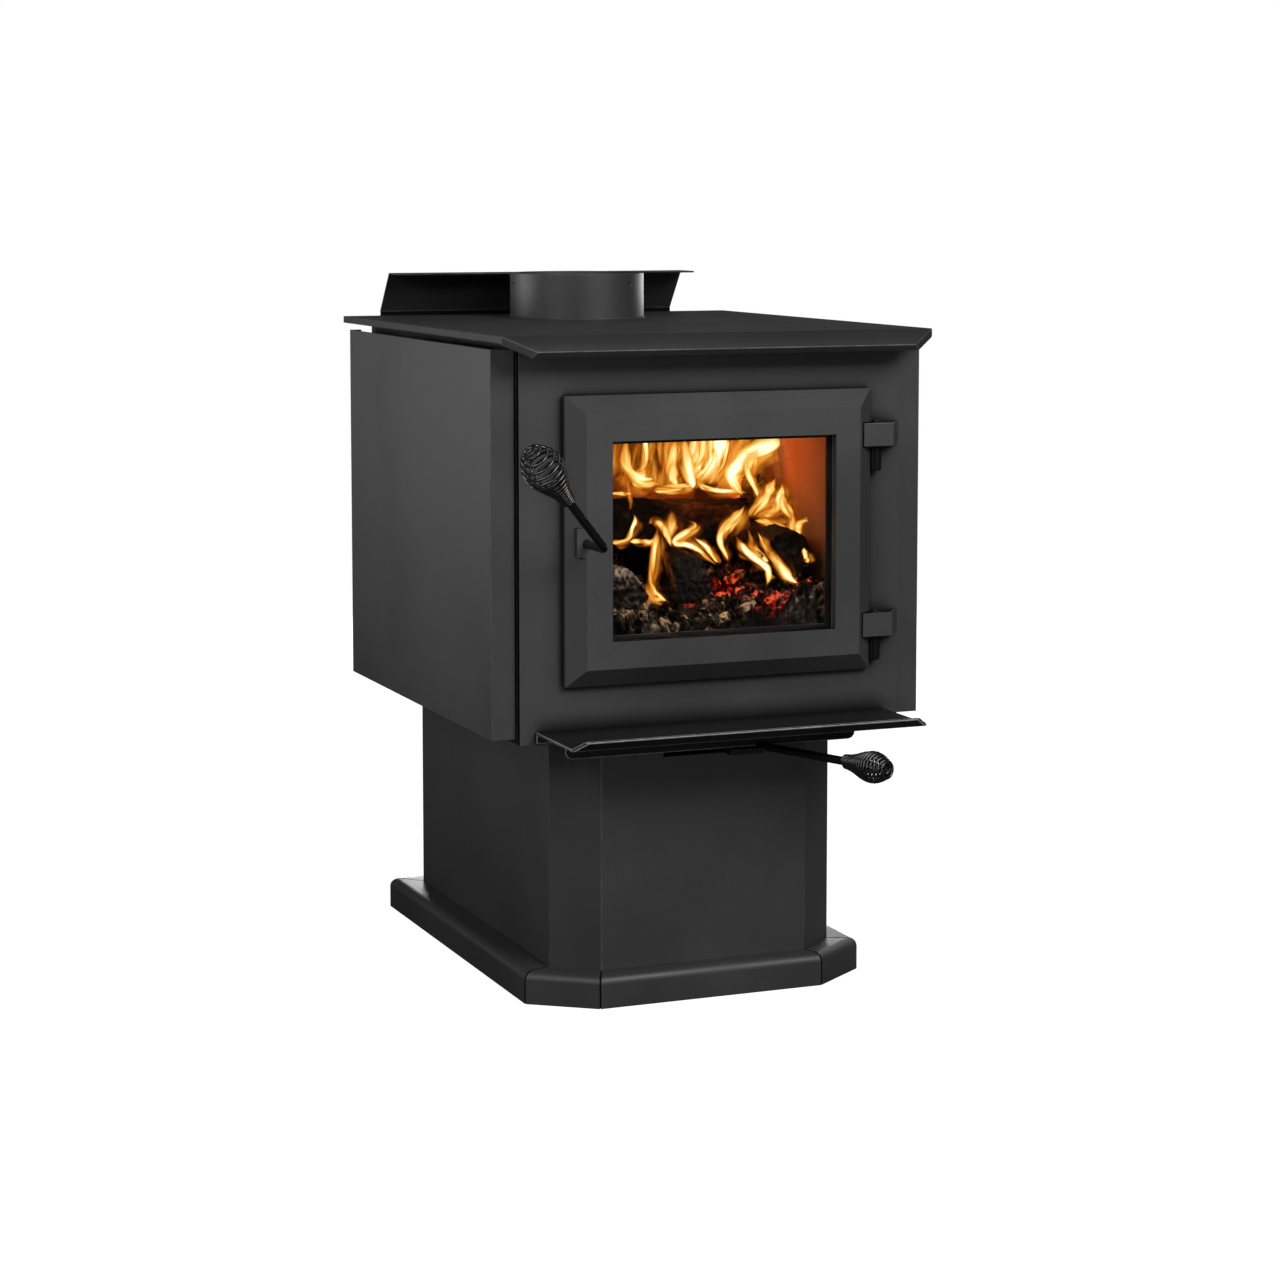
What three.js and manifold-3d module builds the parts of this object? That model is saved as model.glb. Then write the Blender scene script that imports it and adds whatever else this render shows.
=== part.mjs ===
// Free-standing wood burning stove on a closed pedestal: a plate-steel firebox lined with firebrick,
// convection shields on its sides and back, a glazed door on pin hinges with a turning latch, and a
// sliding air control under the ash lip. Millimetres, +Z up, -Y is the front.
// The pieces are laid out from the front of the firebox face plate (y = 0). The whole group is then
// moved back so that the origin is on the floor under the middle of the base.
import * as THREE from 'three';
import { mergeVertices } from 'three/addons/utils/BufferGeometryUtils.js';
import Module from 'manifold-3d';

const wasm = await Module();
wasm.setup();

// ---------------------------------------------------------------- driving dimensions
const GAP = 0.3; // clearance between pieces that touch
const CUT = 5; // how far a cutting tool runs past the face that it cuts

const BASE = { halfWidth: 199, front: -1, rear: 533, cornerX: 68, cornerY: 50 };
const BASE_HEIGHT = 36;
const BASE_SHEET = 3;
const BASE_ROUND = 10; // radius along the top edge of the base trim
const BASE_ROUND_STEPS = 5;
const BASE_PLATE = 5;
const BASE_CENTRE_Y = (BASE.front + BASE.rear) / 2;

const PEDESTAL = { halfWidth: 166.5, front: 23, rear: 500, cornerX: 46, cornerY: 38 };
const PEDESTAL_SHEET = 2.5;
const AIR_INLET = { z: 160, outer: 51, inner: 49, rear: 525 }; // collar for a 100 mm outside-air duct

const BOX_HALF_WIDTH = 221; // firebox, outside
const BOX_REAR = 517;
const BOX_BOTTOM = 291;
const BOX_PLATE = 8;
const TOP_Z = 723; // cooking surface
const TOP_PLATE = 8;
const BOX_TOP = TOP_Z - TOP_PLATE - GAP;

const TOP_HALF_WIDTH = 248.5;
const TOP_REAR = 542;
const TOP_FOLD_Y = -23.7; // where the plate bends down at the front
const TOP_LIP_Y = -48;
const TOP_LIP_Z = 707;
const TOP_LIP_HALF_WIDTH = 216.5;

const FLUE = { x: 0, y: 408, outer: 79.4, inner: 76.2, top: 776 };
const FLUE_SCREW = { radius: 2.2, drop: 12, degrees: [90, 210, 330] }; // drop is down from the rim
const FLUE_SIDES = 48;

const SHIELD_X = 249.5; // outer face of the side shields
const SHIELD_SHEET = 2;
const SHIELD_FRONT = 8;
const SHIELD_REAR = 512;
const SHIELD_BOTTOM = 297;
const SHIELD_TOP = 708;
const SHIELD_RETURN_X = 223; // inner end of the folded front edge
const SHIELD_REAR_RETURN = 14;
const SHIELD_CHANNEL = { y: [240, 280], z: [338, 668] }; // holds the shield off the firebox wall

const DEFLECTOR_HALF_WIDTH = 191;
const DEFLECTOR_Y = 579;
const DEFLECTOR_BOTTOM = 308;
const DEFLECTOR_BEND_Z = 728;
const DEFLECTOR_TOP_Y = 543;
const DEFLECTOR_TOP_Z = 774;
const DEFLECTOR_LIP_Y = 500;
const DEFLECTOR_BRACKET = { x: 120, flange: 22, z: [348, 668] };

const BRICK = 31.5; // firebrick thickness
const BRICK_JOINT = 0.8;
const BRICK_TOP = 608;
const BAFFLE_Z = 653;
const BAFFLE_BOARD = 13;
const BAFFLE_FRONT = 80;
const BLANKET = 12;
const AIR_TUBE = { radius: 12.7, wall: 2, y: [100, 250, 400] };

const DOOR = { x: [-173, 182], z: [351.5, 658.7] };
const DOOR_BACK = -1.5;
const DOOR_RIM = -8;
const DOOR_FRONT = -23;
const DOOR_BEVEL = 19;
const DOOR_BORDER = 48; // from the outer edge to the window
const GLASS_LAP = 5.5; // how far the glass recess runs past the window
const GLASS_RECESS = 12.5; // depth of the recess from the back of the door
const GLASS = 4;
const SEAL_WIDTH = 11; // rope seal channel in the back of the door
const SEAL_DEPTH = 8;
const SEAL_WALL = 3; // between the glass recess and the rope channel

const HINGE = { x: 189, y: -8.5 };
const HINGE_RADIUS = 5.5;
const HINGE_PIN_RADIUS = 3;
const HINGE_STRAP = { x: [168.5, 204], front: -21, footX: 219, sheet: 3 };
const HINGE_STRAP_HEIGHT = 25.5;
const HINGE_BARREL_HEIGHT = 26;
const HINGE_Z = { lower: 388.3, upper: 596 }; // underside of each bracket
const HINGE_SWEEP_RADIUS = 24.5; // room for the bracket in the edge of the door

const LATCH = { x: -154, z: 504.5 };
const LATCH_RADIUS = 4.6;
const LATCH_BEND_Y = -76;
const LATCH_DIRECTION = new THREE.Vector3(-0.642, -0.368, 0.673).normalize();
const LATCH_ROD = 79; // from the bend to the coil handle
const LATCH_POCKET = { x: [-164.4, -146.5], z: [486, 538], y: -13 };
const LATCH_PAD = { x: [-165, -145], z: [490.6, 521], thickness: 12 }; // fills the bevel behind the shaft
const LATCH_CAM = { y: [-7.3, -3.3], radius: 6.8, nose: 9.3 };
const LATCH_CATCH = { x: [-158, -149.5], z: [514.4, 534], thickness: 5 };

const LIP_Z = 305; // top of the ash lip
const LIP_SHEET = 3;
const LIP_HALF_WIDTH = 203.5;
const LIP_FOLD_Y = -104.6;
const LIP_EDGE_Y = -113.5;
const LIP_EDGE_Z = 313.5;
const LIP_EDGE_HALF_WIDTH = 186;
const LIP_BRACKET_HALF_WIDTH = 170;
const LIP_BRACKET_BOTTOM = 273;

const AIR_PORT = { x: [-30, 30], y: [34, 64] };
const AIR_TRAVEL = 60;
const AIR_PLATE_MARGIN = 20;
const AIR_LEVER_X = [17, 56];
const AIR_LEVER_Y = [-10, 46];
const AIR_LEVER_Z = [266, 272];
const AIR_LEVER_TAB = 6; // joins the lever to the slide plate
const AIR_ROD_Z = 273.5; // where the rod leaves the lever
const AIR_ROD_RADIUS = 4.6;
const AIR_ROD_END = new THREE.Vector3(108, -101, 269.8);
const AIR_HANDLE_DIRECTION = new THREE.Vector3(19, -60, 0).normalize();

const HANDLE_WIRE = 1.5; // radius of the handle wire
const HANDLE_WIRE_SIDES = 6;
const HANDLE_STEPS_PER_TURN = 12;
const DOOR_HANDLE = { length: 84, turns: 11, neck: 6.9, bulge: 12.3, end: 9 };
const AIR_HANDLE = { length: 66, turns: 10, neck: 6.9, bulge: 8, end: 8 };
const BULGE_SKEW = 1.6; // above 1 the handle is fattest nearer its free end
const BULGE_SHARPNESS = 1.3;

// ---------------------------------------------------------------- materials
const paint = (color, roughness = 0.7, metalness = 0.3) =>
  new THREE.MeshStandardMaterial({ color, roughness, metalness });
const MATERIALS = {
  paint: paint(0x2e2e30),
  darkPaint: paint(0x141415, 0.6),
  castIron: paint(0x343436, 0.75),
  steel: paint(0x6b6b6e, 0.4, 0.9),
  firebrick: paint(0xc9b48c, 0.95, 0),
  fibre: paint(0xd8d5cc, 0.95, 0),
  rope: paint(0x4a4a4a, 0.95, 0),
  glass: new THREE.MeshStandardMaterial({
    color: 0xa08060, roughness: 0.05, metalness: 0, transparent: true, opacity: 0.4,
  }),
};

// ---------------------------------------------------------------- shapes
const X_AXIS = new THREE.Vector3(1, 0, 0);
const Y_AXIS = new THREE.Vector3(0, 1, 0);
const Z_AXIS = new THREE.Vector3(0, 0, 1);

function box(x, y, z) {
  const ranges = [x, y, z];
  const size = ranges.map(([low, high]) => high - low);
  const centre = ranges.map(([low, high]) => (low + high) / 2);
  return new THREE.BoxGeometry(...size).translate(...centre);
}

// Extrudes an outline of [u, v] pairs by a depth, with u, v and the depth laid along three axes.
function prism(outline, depth, uAxis, vAxis, depthAxis) {
  const shape = new THREE.Shape(outline.map(([u, v]) => new THREE.Vector2(u, v)));
  const geometry = new THREE.ExtrudeGeometry(shape, { depth, bevelEnabled: false });
  return geometry.applyMatrix4(new THREE.Matrix4().makeBasis(uAxis, vAxis, depthAxis));
}

// [x, y] outline between two heights
function prismZ(outline, [low, high]) {
  return prism(outline, high - low, X_AXIS, Y_AXIS, Z_AXIS).translate(0, 0, low);
}

// [y, z] outline between two x places
function prismX(outline, [low, high]) {
  return prism(outline, high - low, Y_AXIS, Z_AXIS, X_AXIS).translate(low, 0, 0);
}

// [x, z] outline between two y places
function prismY(outline, [low, high]) {
  return prism(outline, high - low, X_AXIS, Z_AXIS, Y_AXIS.clone().negate()).translate(0, high, 0);
}

// Upright cylinder between two heights
function post(x, y, radius, [low, high], sides = 24) {
  const geometry = new THREE.CylinderGeometry(radius, radius, high - low, sides);
  return geometry.rotateX(Math.PI / 2).translate(x, y, (low + high) / 2);
}

// Cylinder along Y between two y places
function bore(x, z, radius, [low, high], sides = 24) {
  const geometry = new THREE.CylinderGeometry(radius, radius, high - low, sides);
  return geometry.translate(x, (low + high) / 2, z);
}

// Upright pipe between two heights
function pipe(x, y, outer, inner, [low, high], sides) {
  const profile = [[inner, low], [outer, low], [outer, high], [inner, high], [inner, low]];
  const points = profile.map(([radius, z]) => new THREE.Vector2(radius, z));
  return new THREE.LatheGeometry(points, sides).rotateX(Math.PI / 2).translate(x, y, 0);
}

// Round rod along a curve
function rod(path, radius, steps, sides = 12) {
  const section = new THREE.Shape();
  section.absarc(0, 0, radius, 0, 2 * Math.PI);
  // an arc is drawn with two chords for each of its curve segments
  const options = { extrudePath: path, steps, curveSegments: sides / 2, bevelEnabled: false };
  return new THREE.ExtrudeGeometry(section, options);
}

// Moves every side of a convex, anticlockwise outline inwards by a distance.
function inset(outline, distance) {
  const points = outline.map(([x, y]) => new THREE.Vector2(x, y));
  return points.map((point, index) => {
    const before = points[(index + points.length - 1) % points.length];
    const after = points[(index + 1) % points.length];
    const inSide = point.clone().sub(before).normalize();
    const outSide = after.clone().sub(point).normalize();
    const shift = outSide.clone().sub(inSide).multiplyScalar(distance / inSide.cross(outSide));
    return point.clone().add(shift).toArray();
  });
}

// Rectangle with its two front corners cut off, anticlockwise from the rear left corner
function plan({ halfWidth, front, rear, cornerX, cornerY }) {
  return [
    [-halfWidth, rear],
    [-halfWidth, front + cornerY],
    [-halfWidth + cornerX, front],
    [halfWidth - cornerX, front],
    [halfWidth, front + cornerY],
    [halfWidth, rear],
  ];
}

// ---------------------------------------------------------------- joining and cutting
function toSolid(geometry) {
  const bare = geometry.clone();
  bare.deleteAttribute('normal');
  bare.deleteAttribute('uv');
  const merged = mergeVertices(bare, 1e-4);
  const vertProperties = new Float32Array(merged.attributes.position.array);
  const triVerts = new Uint32Array(merged.index.array);
  return new wasm.Manifold(new wasm.Mesh({ numProp: 3, vertProperties, triVerts }));
}

function toGeometry(solid) {
  const mesh = solid.getMesh();
  const geometry = new THREE.BufferGeometry();
  geometry.setAttribute('position', new THREE.BufferAttribute(mesh.vertProperties, 3));
  geometry.setIndex(new THREE.BufferAttribute(mesh.triVerts, 1));
  geometry.computeVertexNormals();
  return geometry;
}

function cut(geometry, ...tools) {
  return toGeometry(tools.reduce((solid, tool) => solid.subtract(toSolid(tool)), toSolid(geometry)));
}

function clip(geometry, tool) {
  return toGeometry(toSolid(geometry).intersect(toSolid(tool)));
}

function join(...geometries) {
  const [first, ...others] = geometries.map(toSolid);
  return toGeometry(others.reduce((solid, other) => solid.add(other), first));
}

// ---------------------------------------------------------------- assembly
const stove = new THREE.Group();
stove.position.y = -BASE_CENTRE_Y;

function add(name, material, geometry) {
  const mesh = new THREE.Mesh(geometry, MATERIALS[material]);
  mesh.name = name;
  stove.add(mesh);
  return mesh;
}

const SIDES = { left: -1, right: 1 };
const span = (sign, near, far) => [sign * near, sign * far].sort((a, b) => a - b);

// Folded sheet around the foot of the pedestal, mitred into one piece for each side of the plan
function buildBase() {
  const outer = plan(BASE);
  const inner = inset(plan(PEDESTAL), -GAP);
  const names = ['left', 'corner_left', 'front', 'corner_right', 'right', 'rear'];
  const reach = 60; // deeper than the widest top flange, which the mitre then trims
  const arc = (radius, from, to) => {
    const angles = Array.from({ length: BASE_ROUND_STEPS + 1 }, (_, i) =>
      THREE.MathUtils.lerp(from, to, i / BASE_ROUND_STEPS));
    return angles.map((angle) => [
      BASE_ROUND + radius * Math.cos(angle),
      BASE_HEIGHT - BASE_ROUND + radius * Math.sin(angle),
    ]);
  };
  const profile = [
    [0, 0],
    ...arc(BASE_ROUND, Math.PI, Math.PI / 2),
    [reach, BASE_HEIGHT],
    [reach, BASE_HEIGHT - BASE_SHEET],
    ...arc(BASE_ROUND - BASE_SHEET, Math.PI / 2, Math.PI),
    [BASE_SHEET, 0],
  ];
  names.forEach((name, index) => {
    const next = (index + 1) % names.length;
    const start = new THREE.Vector3(...outer[index], 0);
    const along = new THREE.Vector3(...outer[next], 0).sub(start);
    const length = along.length();
    along.normalize();
    const inwards = new THREE.Vector3(-along.y, along.x, 0);
    const strip = prism(profile, length, inwards, Z_AXIS, along);
    strip.translate(...start.addScaledVector(inwards, GAP / 2).toArray());
    const mitre = inset([outer[index], outer[next], inner[next], inner[index]], GAP / 2);
    add(`base_trim_${name}`, 'paint', clip(strip, prismZ(mitre, [-CUT, BASE_HEIGHT + CUT])));
  });
  add('base_plate', 'paint', prismZ(inset(outer, BASE_SHEET + 2 * GAP), [0, BASE_PLATE]));
}

function buildPedestal() {
  const height = [BASE_PLATE + GAP, BOX_BOTTOM - GAP];
  const outer = plan(PEDESTAL);
  const hollow = inset(plan({ ...PEDESTAL, rear: PEDESTAL.rear + 4 * CUT }), PEDESTAL_SHEET);
  const leverSlot = box(
    [AIR_LEVER_X[0] - AIR_TRAVEL - CUT, AIR_LEVER_X[1] + CUT],
    [PEDESTAL.front - CUT, PEDESTAL.front + CUT],
    [AIR_LEVER_Z[0] - 2, AIR_LEVER_Z[1] + 7],
  );
  const shell = cut(prismZ(outer, height), prismZ(hollow, [0, BOX_BOTTOM + CUT]), leverSlot);
  add('pedestal_shell', 'paint', shell);

  const halfWidth = PEDESTAL.halfWidth - PEDESTAL_SHEET - GAP;
  const depth = [PEDESTAL.rear - PEDESTAL_SHEET, PEDESTAL.rear];
  const inlet = bore(0, AIR_INLET.z, AIR_INLET.inner, [depth[0] - CUT, depth[1] + CUT], 36);
  add('pedestal_rear_panel', 'paint', cut(box([-halfWidth, halfWidth], depth, height), inlet));
  const collarLength = [-AIR_INLET.rear, -depth[1] - GAP];
  const collar = pipe(0, 0, AIR_INLET.outer, AIR_INLET.inner, collarLength, 36);
  add('outside_air_collar', 'paint', collar.rotateX(Math.PI / 2).translate(0, 0, AIR_INLET.z));
}

function buildFirebox(mouth) {
  const inside = BOX_HALF_WIDTH - BOX_PLATE - GAP;
  const height = [BOX_BOTTOM, BOX_TOP];
  const port = box(AIR_PORT.x, AIR_PORT.y, [BOX_BOTTOM - CUT, BOX_BOTTOM + BOX_PLATE + CUT]);
  const floorDepth = [BOX_PLATE + GAP, BOX_REAR - BOX_PLATE - GAP];
  const floor = box([-inside, inside], floorDepth, [BOX_BOTTOM, BOX_BOTTOM + BOX_PLATE]);
  add('firebox_floor', 'darkPaint', cut(floor, port));
  for (const [side, sign] of Object.entries(SIDES)) {
    const wall = span(sign, BOX_HALF_WIDTH - BOX_PLATE, BOX_HALF_WIDTH);
    add(`firebox_wall_${side}`, 'darkPaint', box(wall, [BOX_PLATE + GAP, BOX_REAR], height));
  }
  const rear = [BOX_REAR - BOX_PLATE, BOX_REAR];
  add('firebox_rear_wall', 'darkPaint', box([-inside, inside], rear, height));

  const face = box([-BOX_HALF_WIDTH, BOX_HALF_WIDTH], [0, BOX_PLATE], height);
  add('face_plate', 'paint', cut(face, box(mouth.x, [-CUT, BOX_PLATE + CUT], mouth.z)));
}

function buildTop() {
  const slope = new THREE.Vector2(TOP_LIP_Y - TOP_FOLD_Y, TOP_LIP_Z - TOP_Z).normalize();
  const under = new THREE.Vector2(-slope.y, slope.x).multiplyScalar(TOP_PLATE); // square to the slope
  const lipUnder = [TOP_LIP_Y + under.x, TOP_LIP_Z + under.y];
  const bendRun = (TOP_Z - TOP_PLATE - lipUnder[1]) / slope.y;
  const profile = [
    [TOP_REAR, TOP_Z - TOP_PLATE],
    [TOP_REAR, TOP_Z],
    [TOP_FOLD_Y, TOP_Z],
    [TOP_LIP_Y, TOP_LIP_Z],
    lipUnder,
    [lipUnder[0] + slope.x * bendRun, TOP_Z - TOP_PLATE],
  ];
  const outline = [
    [-TOP_HALF_WIDTH, TOP_REAR],
    [-TOP_HALF_WIDTH, TOP_FOLD_Y],
    [-TOP_LIP_HALF_WIDTH, TOP_LIP_Y],
    [TOP_LIP_HALF_WIDTH, TOP_LIP_Y],
    [TOP_HALF_WIDTH, TOP_FOLD_Y],
    [TOP_HALF_WIDTH, TOP_REAR],
  ];
  const height = [TOP_LIP_Z - 2 * TOP_PLATE, TOP_Z + CUT];
  const plate = clip(prismX(profile, [-TOP_HALF_WIDTH, TOP_HALF_WIDTH]), prismZ(outline, height));
  add('top_plate', 'paint', cut(plate, post(FLUE.x, FLUE.y, FLUE.inner, height, FLUE_SIDES)));

  const collar = pipe(FLUE.x, FLUE.y, FLUE.outer, FLUE.inner, [TOP_Z + GAP, FLUE.top], FLUE_SIDES);
  const screwHoles = FLUE_SCREW.degrees.map((degrees) => {
    const hole = bore(0, 0, FLUE_SCREW.radius, [FLUE.inner - CUT, FLUE.outer + CUT], 10);
    hole.rotateZ(THREE.MathUtils.degToRad(degrees));
    return hole.translate(FLUE.x, FLUE.y, FLUE.top - FLUE_SCREW.drop);
  });
  add('flue_collar', 'paint', cut(collar, ...screwHoles));
}

function buildShields() {
  for (const [side, sign] of Object.entries(SIDES)) {
    const inner = SHIELD_X - SHIELD_SHEET;
    const outline = [
      [SHIELD_RETURN_X, SHIELD_FRONT],
      [SHIELD_X, SHIELD_FRONT],
      [SHIELD_X, SHIELD_REAR],
      [SHIELD_X - SHIELD_REAR_RETURN, SHIELD_REAR],
      [SHIELD_X - SHIELD_REAR_RETURN, SHIELD_REAR - SHIELD_SHEET],
      [inner, SHIELD_REAR - SHIELD_SHEET],
      [inner, SHIELD_FRONT + SHIELD_SHEET],
      [SHIELD_RETURN_X, SHIELD_FRONT + SHIELD_SHEET],
    ].map(([x, y]) => [sign * x, y]);
    add(`side_shield_${side}`, 'paint', prismZ(outline, [SHIELD_BOTTOM, SHIELD_TOP]));

    const [near, far] = [BOX_HALF_WIDTH + GAP, inner - GAP];
    const [front, rear] = SHIELD_CHANNEL.y;
    const web = near + SHIELD_SHEET;
    const channel = [
      [near, front], [far, front], [far, front + SHIELD_SHEET], [web, front + SHIELD_SHEET],
      [web, rear - SHIELD_SHEET], [far, rear - SHIELD_SHEET], [far, rear], [near, rear],
    ].map(([x, y]) => [sign * x, y]);
    add(`side_shield_bracket_${side}`, 'darkPaint', prismZ(channel, SHIELD_CHANNEL.z));
  }

  const deflector = [
    [DEFLECTOR_Y, DEFLECTOR_BOTTOM],
    [DEFLECTOR_Y, DEFLECTOR_BEND_Z],
    [DEFLECTOR_TOP_Y, DEFLECTOR_TOP_Z],
    [DEFLECTOR_LIP_Y, DEFLECTOR_TOP_Z],
    [DEFLECTOR_LIP_Y, DEFLECTOR_TOP_Z - SHIELD_SHEET],
    [DEFLECTOR_TOP_Y - SHIELD_SHEET / 2, DEFLECTOR_TOP_Z - SHIELD_SHEET],
    [DEFLECTOR_Y - SHIELD_SHEET, DEFLECTOR_BEND_Z - SHIELD_SHEET / 2],
    [DEFLECTOR_Y - SHIELD_SHEET, DEFLECTOR_BOTTOM],
  ];
  add('rear_shield', 'paint', prismX(deflector, [-DEFLECTOR_HALF_WIDTH, DEFLECTOR_HALF_WIDTH]));
  for (const [side, sign] of Object.entries(SIDES)) {
    const [near, far] = [BOX_REAR + GAP, DEFLECTOR_Y - SHIELD_SHEET - GAP];
    const { x: web, flange, z } = DEFLECTOR_BRACKET;
    const step = [
      [web, near], [web + flange, near], [web + flange, near + SHIELD_SHEET],
      [web + SHIELD_SHEET, near + SHIELD_SHEET], [web + SHIELD_SHEET, far],
      [web - flange, far], [web - flange, far - SHIELD_SHEET], [web, far - SHIELD_SHEET],
    ].map(([x, y]) => [sign * x, y]);
    add(`rear_shield_bracket_${side}`, 'darkPaint', prismZ(step, z));
  }
}

function buildLining() {
  const inside = BOX_HALF_WIDTH - BOX_PLATE - 2 * GAP;
  const front = BOX_PLATE + BRICK_JOINT;
  const rear = BOX_REAR - BOX_PLATE - BRICK_JOINT;
  const floor = [BOX_BOTTOM + BOX_PLATE + GAP, BOX_BOTTOM + BOX_PLATE + BRICK];
  const upright = [floor[1] + BRICK_JOINT, BRICK_TOP];

  const width = (2 * inside - 2 * BRICK_JOINT) / 3;
  const portNotch = box([-32, 32], [front - CUT, AIR_PORT.y[1] + 2], [floor[0] - CUT, floor[1] + CUT]);
  for (let column = 0; column < 3; column++) {
    const low = -inside + column * (width + BRICK_JOINT);
    const brick = box([low, low + width], [front, rear], floor);
    add(`floor_brick_${column + 1}`, 'firebrick', column === 1 ? cut(brick, portNotch) : brick);
  }

  const sideRear = rear - BRICK - BRICK_JOINT;
  const sideLength = (sideRear - front - BRICK_JOINT) / 2;
  for (const [side, sign] of Object.entries(SIDES)) {
    for (let row = 0; row < 2; row++) {
      const start = front + row * (sideLength + BRICK_JOINT);
      const brick = box(span(sign, inside - BRICK, inside), [start, start + sideLength], upright);
      add(`side_brick_${side}_${row + 1}`, 'firebrick', brick);
    }
    const half = span(sign, BRICK_JOINT / 2, inside);
    add(`rear_brick_${side}`, 'firebrick', box(half, [rear - BRICK, rear], upright));
  }

  const tubeZ = BAFFLE_Z - AIR_TUBE.radius - GAP;
  AIR_TUBE.y.forEach((y, index) => {
    const tube = pipe(0, 0, AIR_TUBE.radius, AIR_TUBE.radius - AIR_TUBE.wall, [-inside, inside], 16);
    add(`air_tube_${index + 1}`, 'steel', tube.rotateY(Math.PI / 2).translate(0, y, tubeZ));
  });
  const boardDepth = [BAFFLE_FRONT, rear];
  for (const [side, sign] of Object.entries(SIDES)) {
    const board = box(span(sign, GAP, inside), boardDepth, [BAFFLE_Z, BAFFLE_Z + BAFFLE_BOARD]);
    add(`baffle_board_${side}`, 'fibre', board);
  }
  const blanketZ = BAFFLE_Z + BAFFLE_BOARD + GAP;
  const blanketX = [-inside + CUT, inside - CUT];
  add('baffle_blanket', 'fibre', box(blanketX, boardDepth, [blanketZ, blanketZ + BLANKET]));
}

// A window-shaped ring: the same distance past the window on every side
function windowRing(window, outerLap, innerLap, depth) {
  const lapped = (lap, y) => box(
    [window.x[0] - lap, window.x[1] + lap], y, [window.z[0] - lap, window.z[1] + lap],
  );
  return cut(lapped(outerLap, depth), lapped(innerLap, [depth[0] - CUT, depth[1] + CUT]));
}

function buildDoor(window) {
  const section = ([low, high]) => [
    [low, DOOR_BACK], [low, DOOR_RIM], [low + DOOR_BEVEL, DOOR_FRONT],
    [high - DOOR_BEVEL, DOOR_FRONT], [high, DOOR_RIM], [high, DOOR_BACK],
  ];
  const upright = section(DOOR.z).map(([z, y]) => [y, z]);
  const slab = clip(prismX(upright, DOOR.x), prismZ(section(DOOR.x), DOOR.z));
  const latchPad = box(LATCH_PAD.x, [DOOR_FRONT, DOOR_FRONT + LATCH_PAD.thickness], LATCH_PAD.z);

  const backCut = (lap, depth) => box(
    [window.x[0] - lap, window.x[1] + lap], [DOOR_BACK - depth, DOOR_BACK + CUT],
    [window.z[0] - lap, window.z[1] + lap],
  );
  const through = backCut(0, DOOR_BACK - DOOR_FRONT + CUT);
  const glassRecess = backCut(GLASS_LAP, GLASS_RECESS);
  const sealInner = GLASS_LAP + SEAL_WALL;
  const sealOuter = sealInner + SEAL_WIDTH;
  const sealChannel = windowRing(window, sealOuter, sealInner, [DOOR_BACK - SEAL_DEPTH, DOOR_BACK + CUT]);
  const pocket = box(LATCH_POCKET.x, [LATCH_POCKET.y, DOOR_BACK + CUT], LATCH_POCKET.z);
  const latchHole = bore(LATCH.x, LATCH.z, LATCH_RADIUS + GAP, [DOOR_FRONT - CUT, DOOR_BACK]);
  const hingeNotches = Object.values(HINGE_Z).map((z) =>
    post(HINGE.x, HINGE.y, HINGE_SWEEP_RADIUS, [z - 1.2, z + HINGE_STRAP_HEIGHT + 1], 48));
  const cuts = [through, glassRecess, sealChannel, pocket, latchHole, ...hingeNotches];
  add('door_frame', 'castIron', cut(join(slab, latchPad), ...cuts));

  const recessFront = DOOR_BACK - GLASS_RECESS;
  const edge = GLASS_LAP - 0.5;
  const gasketDepth = [recessFront + GAP, recessFront + 3.5];
  add('glass_gasket', 'rope', windowRing(window, edge, 1, gasketDepth));
  const glassDepth = [gasketDepth[1] + GAP, gasketDepth[1] + GAP + GLASS];
  const glassX = [window.x[0] - edge, window.x[1] + edge];
  add('door_glass', 'glass', box(glassX, glassDepth, [window.z[0] - edge, window.z[1] + edge]));
  const retainerDepth = [glassDepth[1] + GAP, glassDepth[1] + 3];
  add('glass_retainer', 'steel', windowRing(window, edge, -4, retainerDepth));
  const sealDepth = [DOOR_BACK - SEAL_DEPTH + GAP, -GAP];
  add('door_rope_seal', 'rope', windowRing(window, sealOuter - GAP, sealInner + GAP, sealDepth));
}

// Each hinge: a strap on the face plate with a tube behind it, a barrel on the door and a lift-off pin
function buildHinges() {
  const { x: [strapStart, strapBend], front, footX, sheet } = HINGE_STRAP;
  const strap = [
    [strapStart, front], [strapBend, front], [footX, -GAP], [footX - 1.25 * sheet, -GAP],
    [strapBend - sheet / 2, front + sheet], [strapStart, front + sheet],
  ];
  for (const [level, bottom] of Object.entries(HINGE_Z)) {
    const height = [bottom, bottom + HINGE_STRAP_HEIGHT];
    const barrel = [bottom - HINGE_BARREL_HEIGHT - 0.8, bottom - 0.8];
    const pinHole = post(HINGE.x, HINGE.y, HINGE_PIN_RADIUS + GAP, [barrel[0] - CUT, height[1] + CUT], 16);
    const tube = (z) => post(HINGE.x, HINGE.y, HINGE_RADIUS, z, 20);
    const web = box([HINGE.x - 2, HINGE.x + 2], [-18.5, HINGE.y], height);
    const bracket = cut(join(prismZ(strap, height), web, tube(height)), pinHole);
    add(`hinge_bracket_${level}`, 'paint', bracket);

    const tab = box([DOOR.x[1] + GAP, HINGE.x], [HINGE.y - 2.5, HINGE.y + 2.5], barrel);
    add(`hinge_barrel_${level}`, 'darkPaint', cut(join(tab, tube(barrel)), pinHole));

    const shank = post(HINGE.x, HINGE.y, HINGE_PIN_RADIUS, [barrel[0] - 1, height[1] + 1], 16);
    const head = post(HINGE.x, HINGE.y, 4.6, [height[1] + GAP, height[1] + 2.5], 16);
    add(`hinge_pin_${level}`, 'steel', join(shank, head));
  }
}

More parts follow.
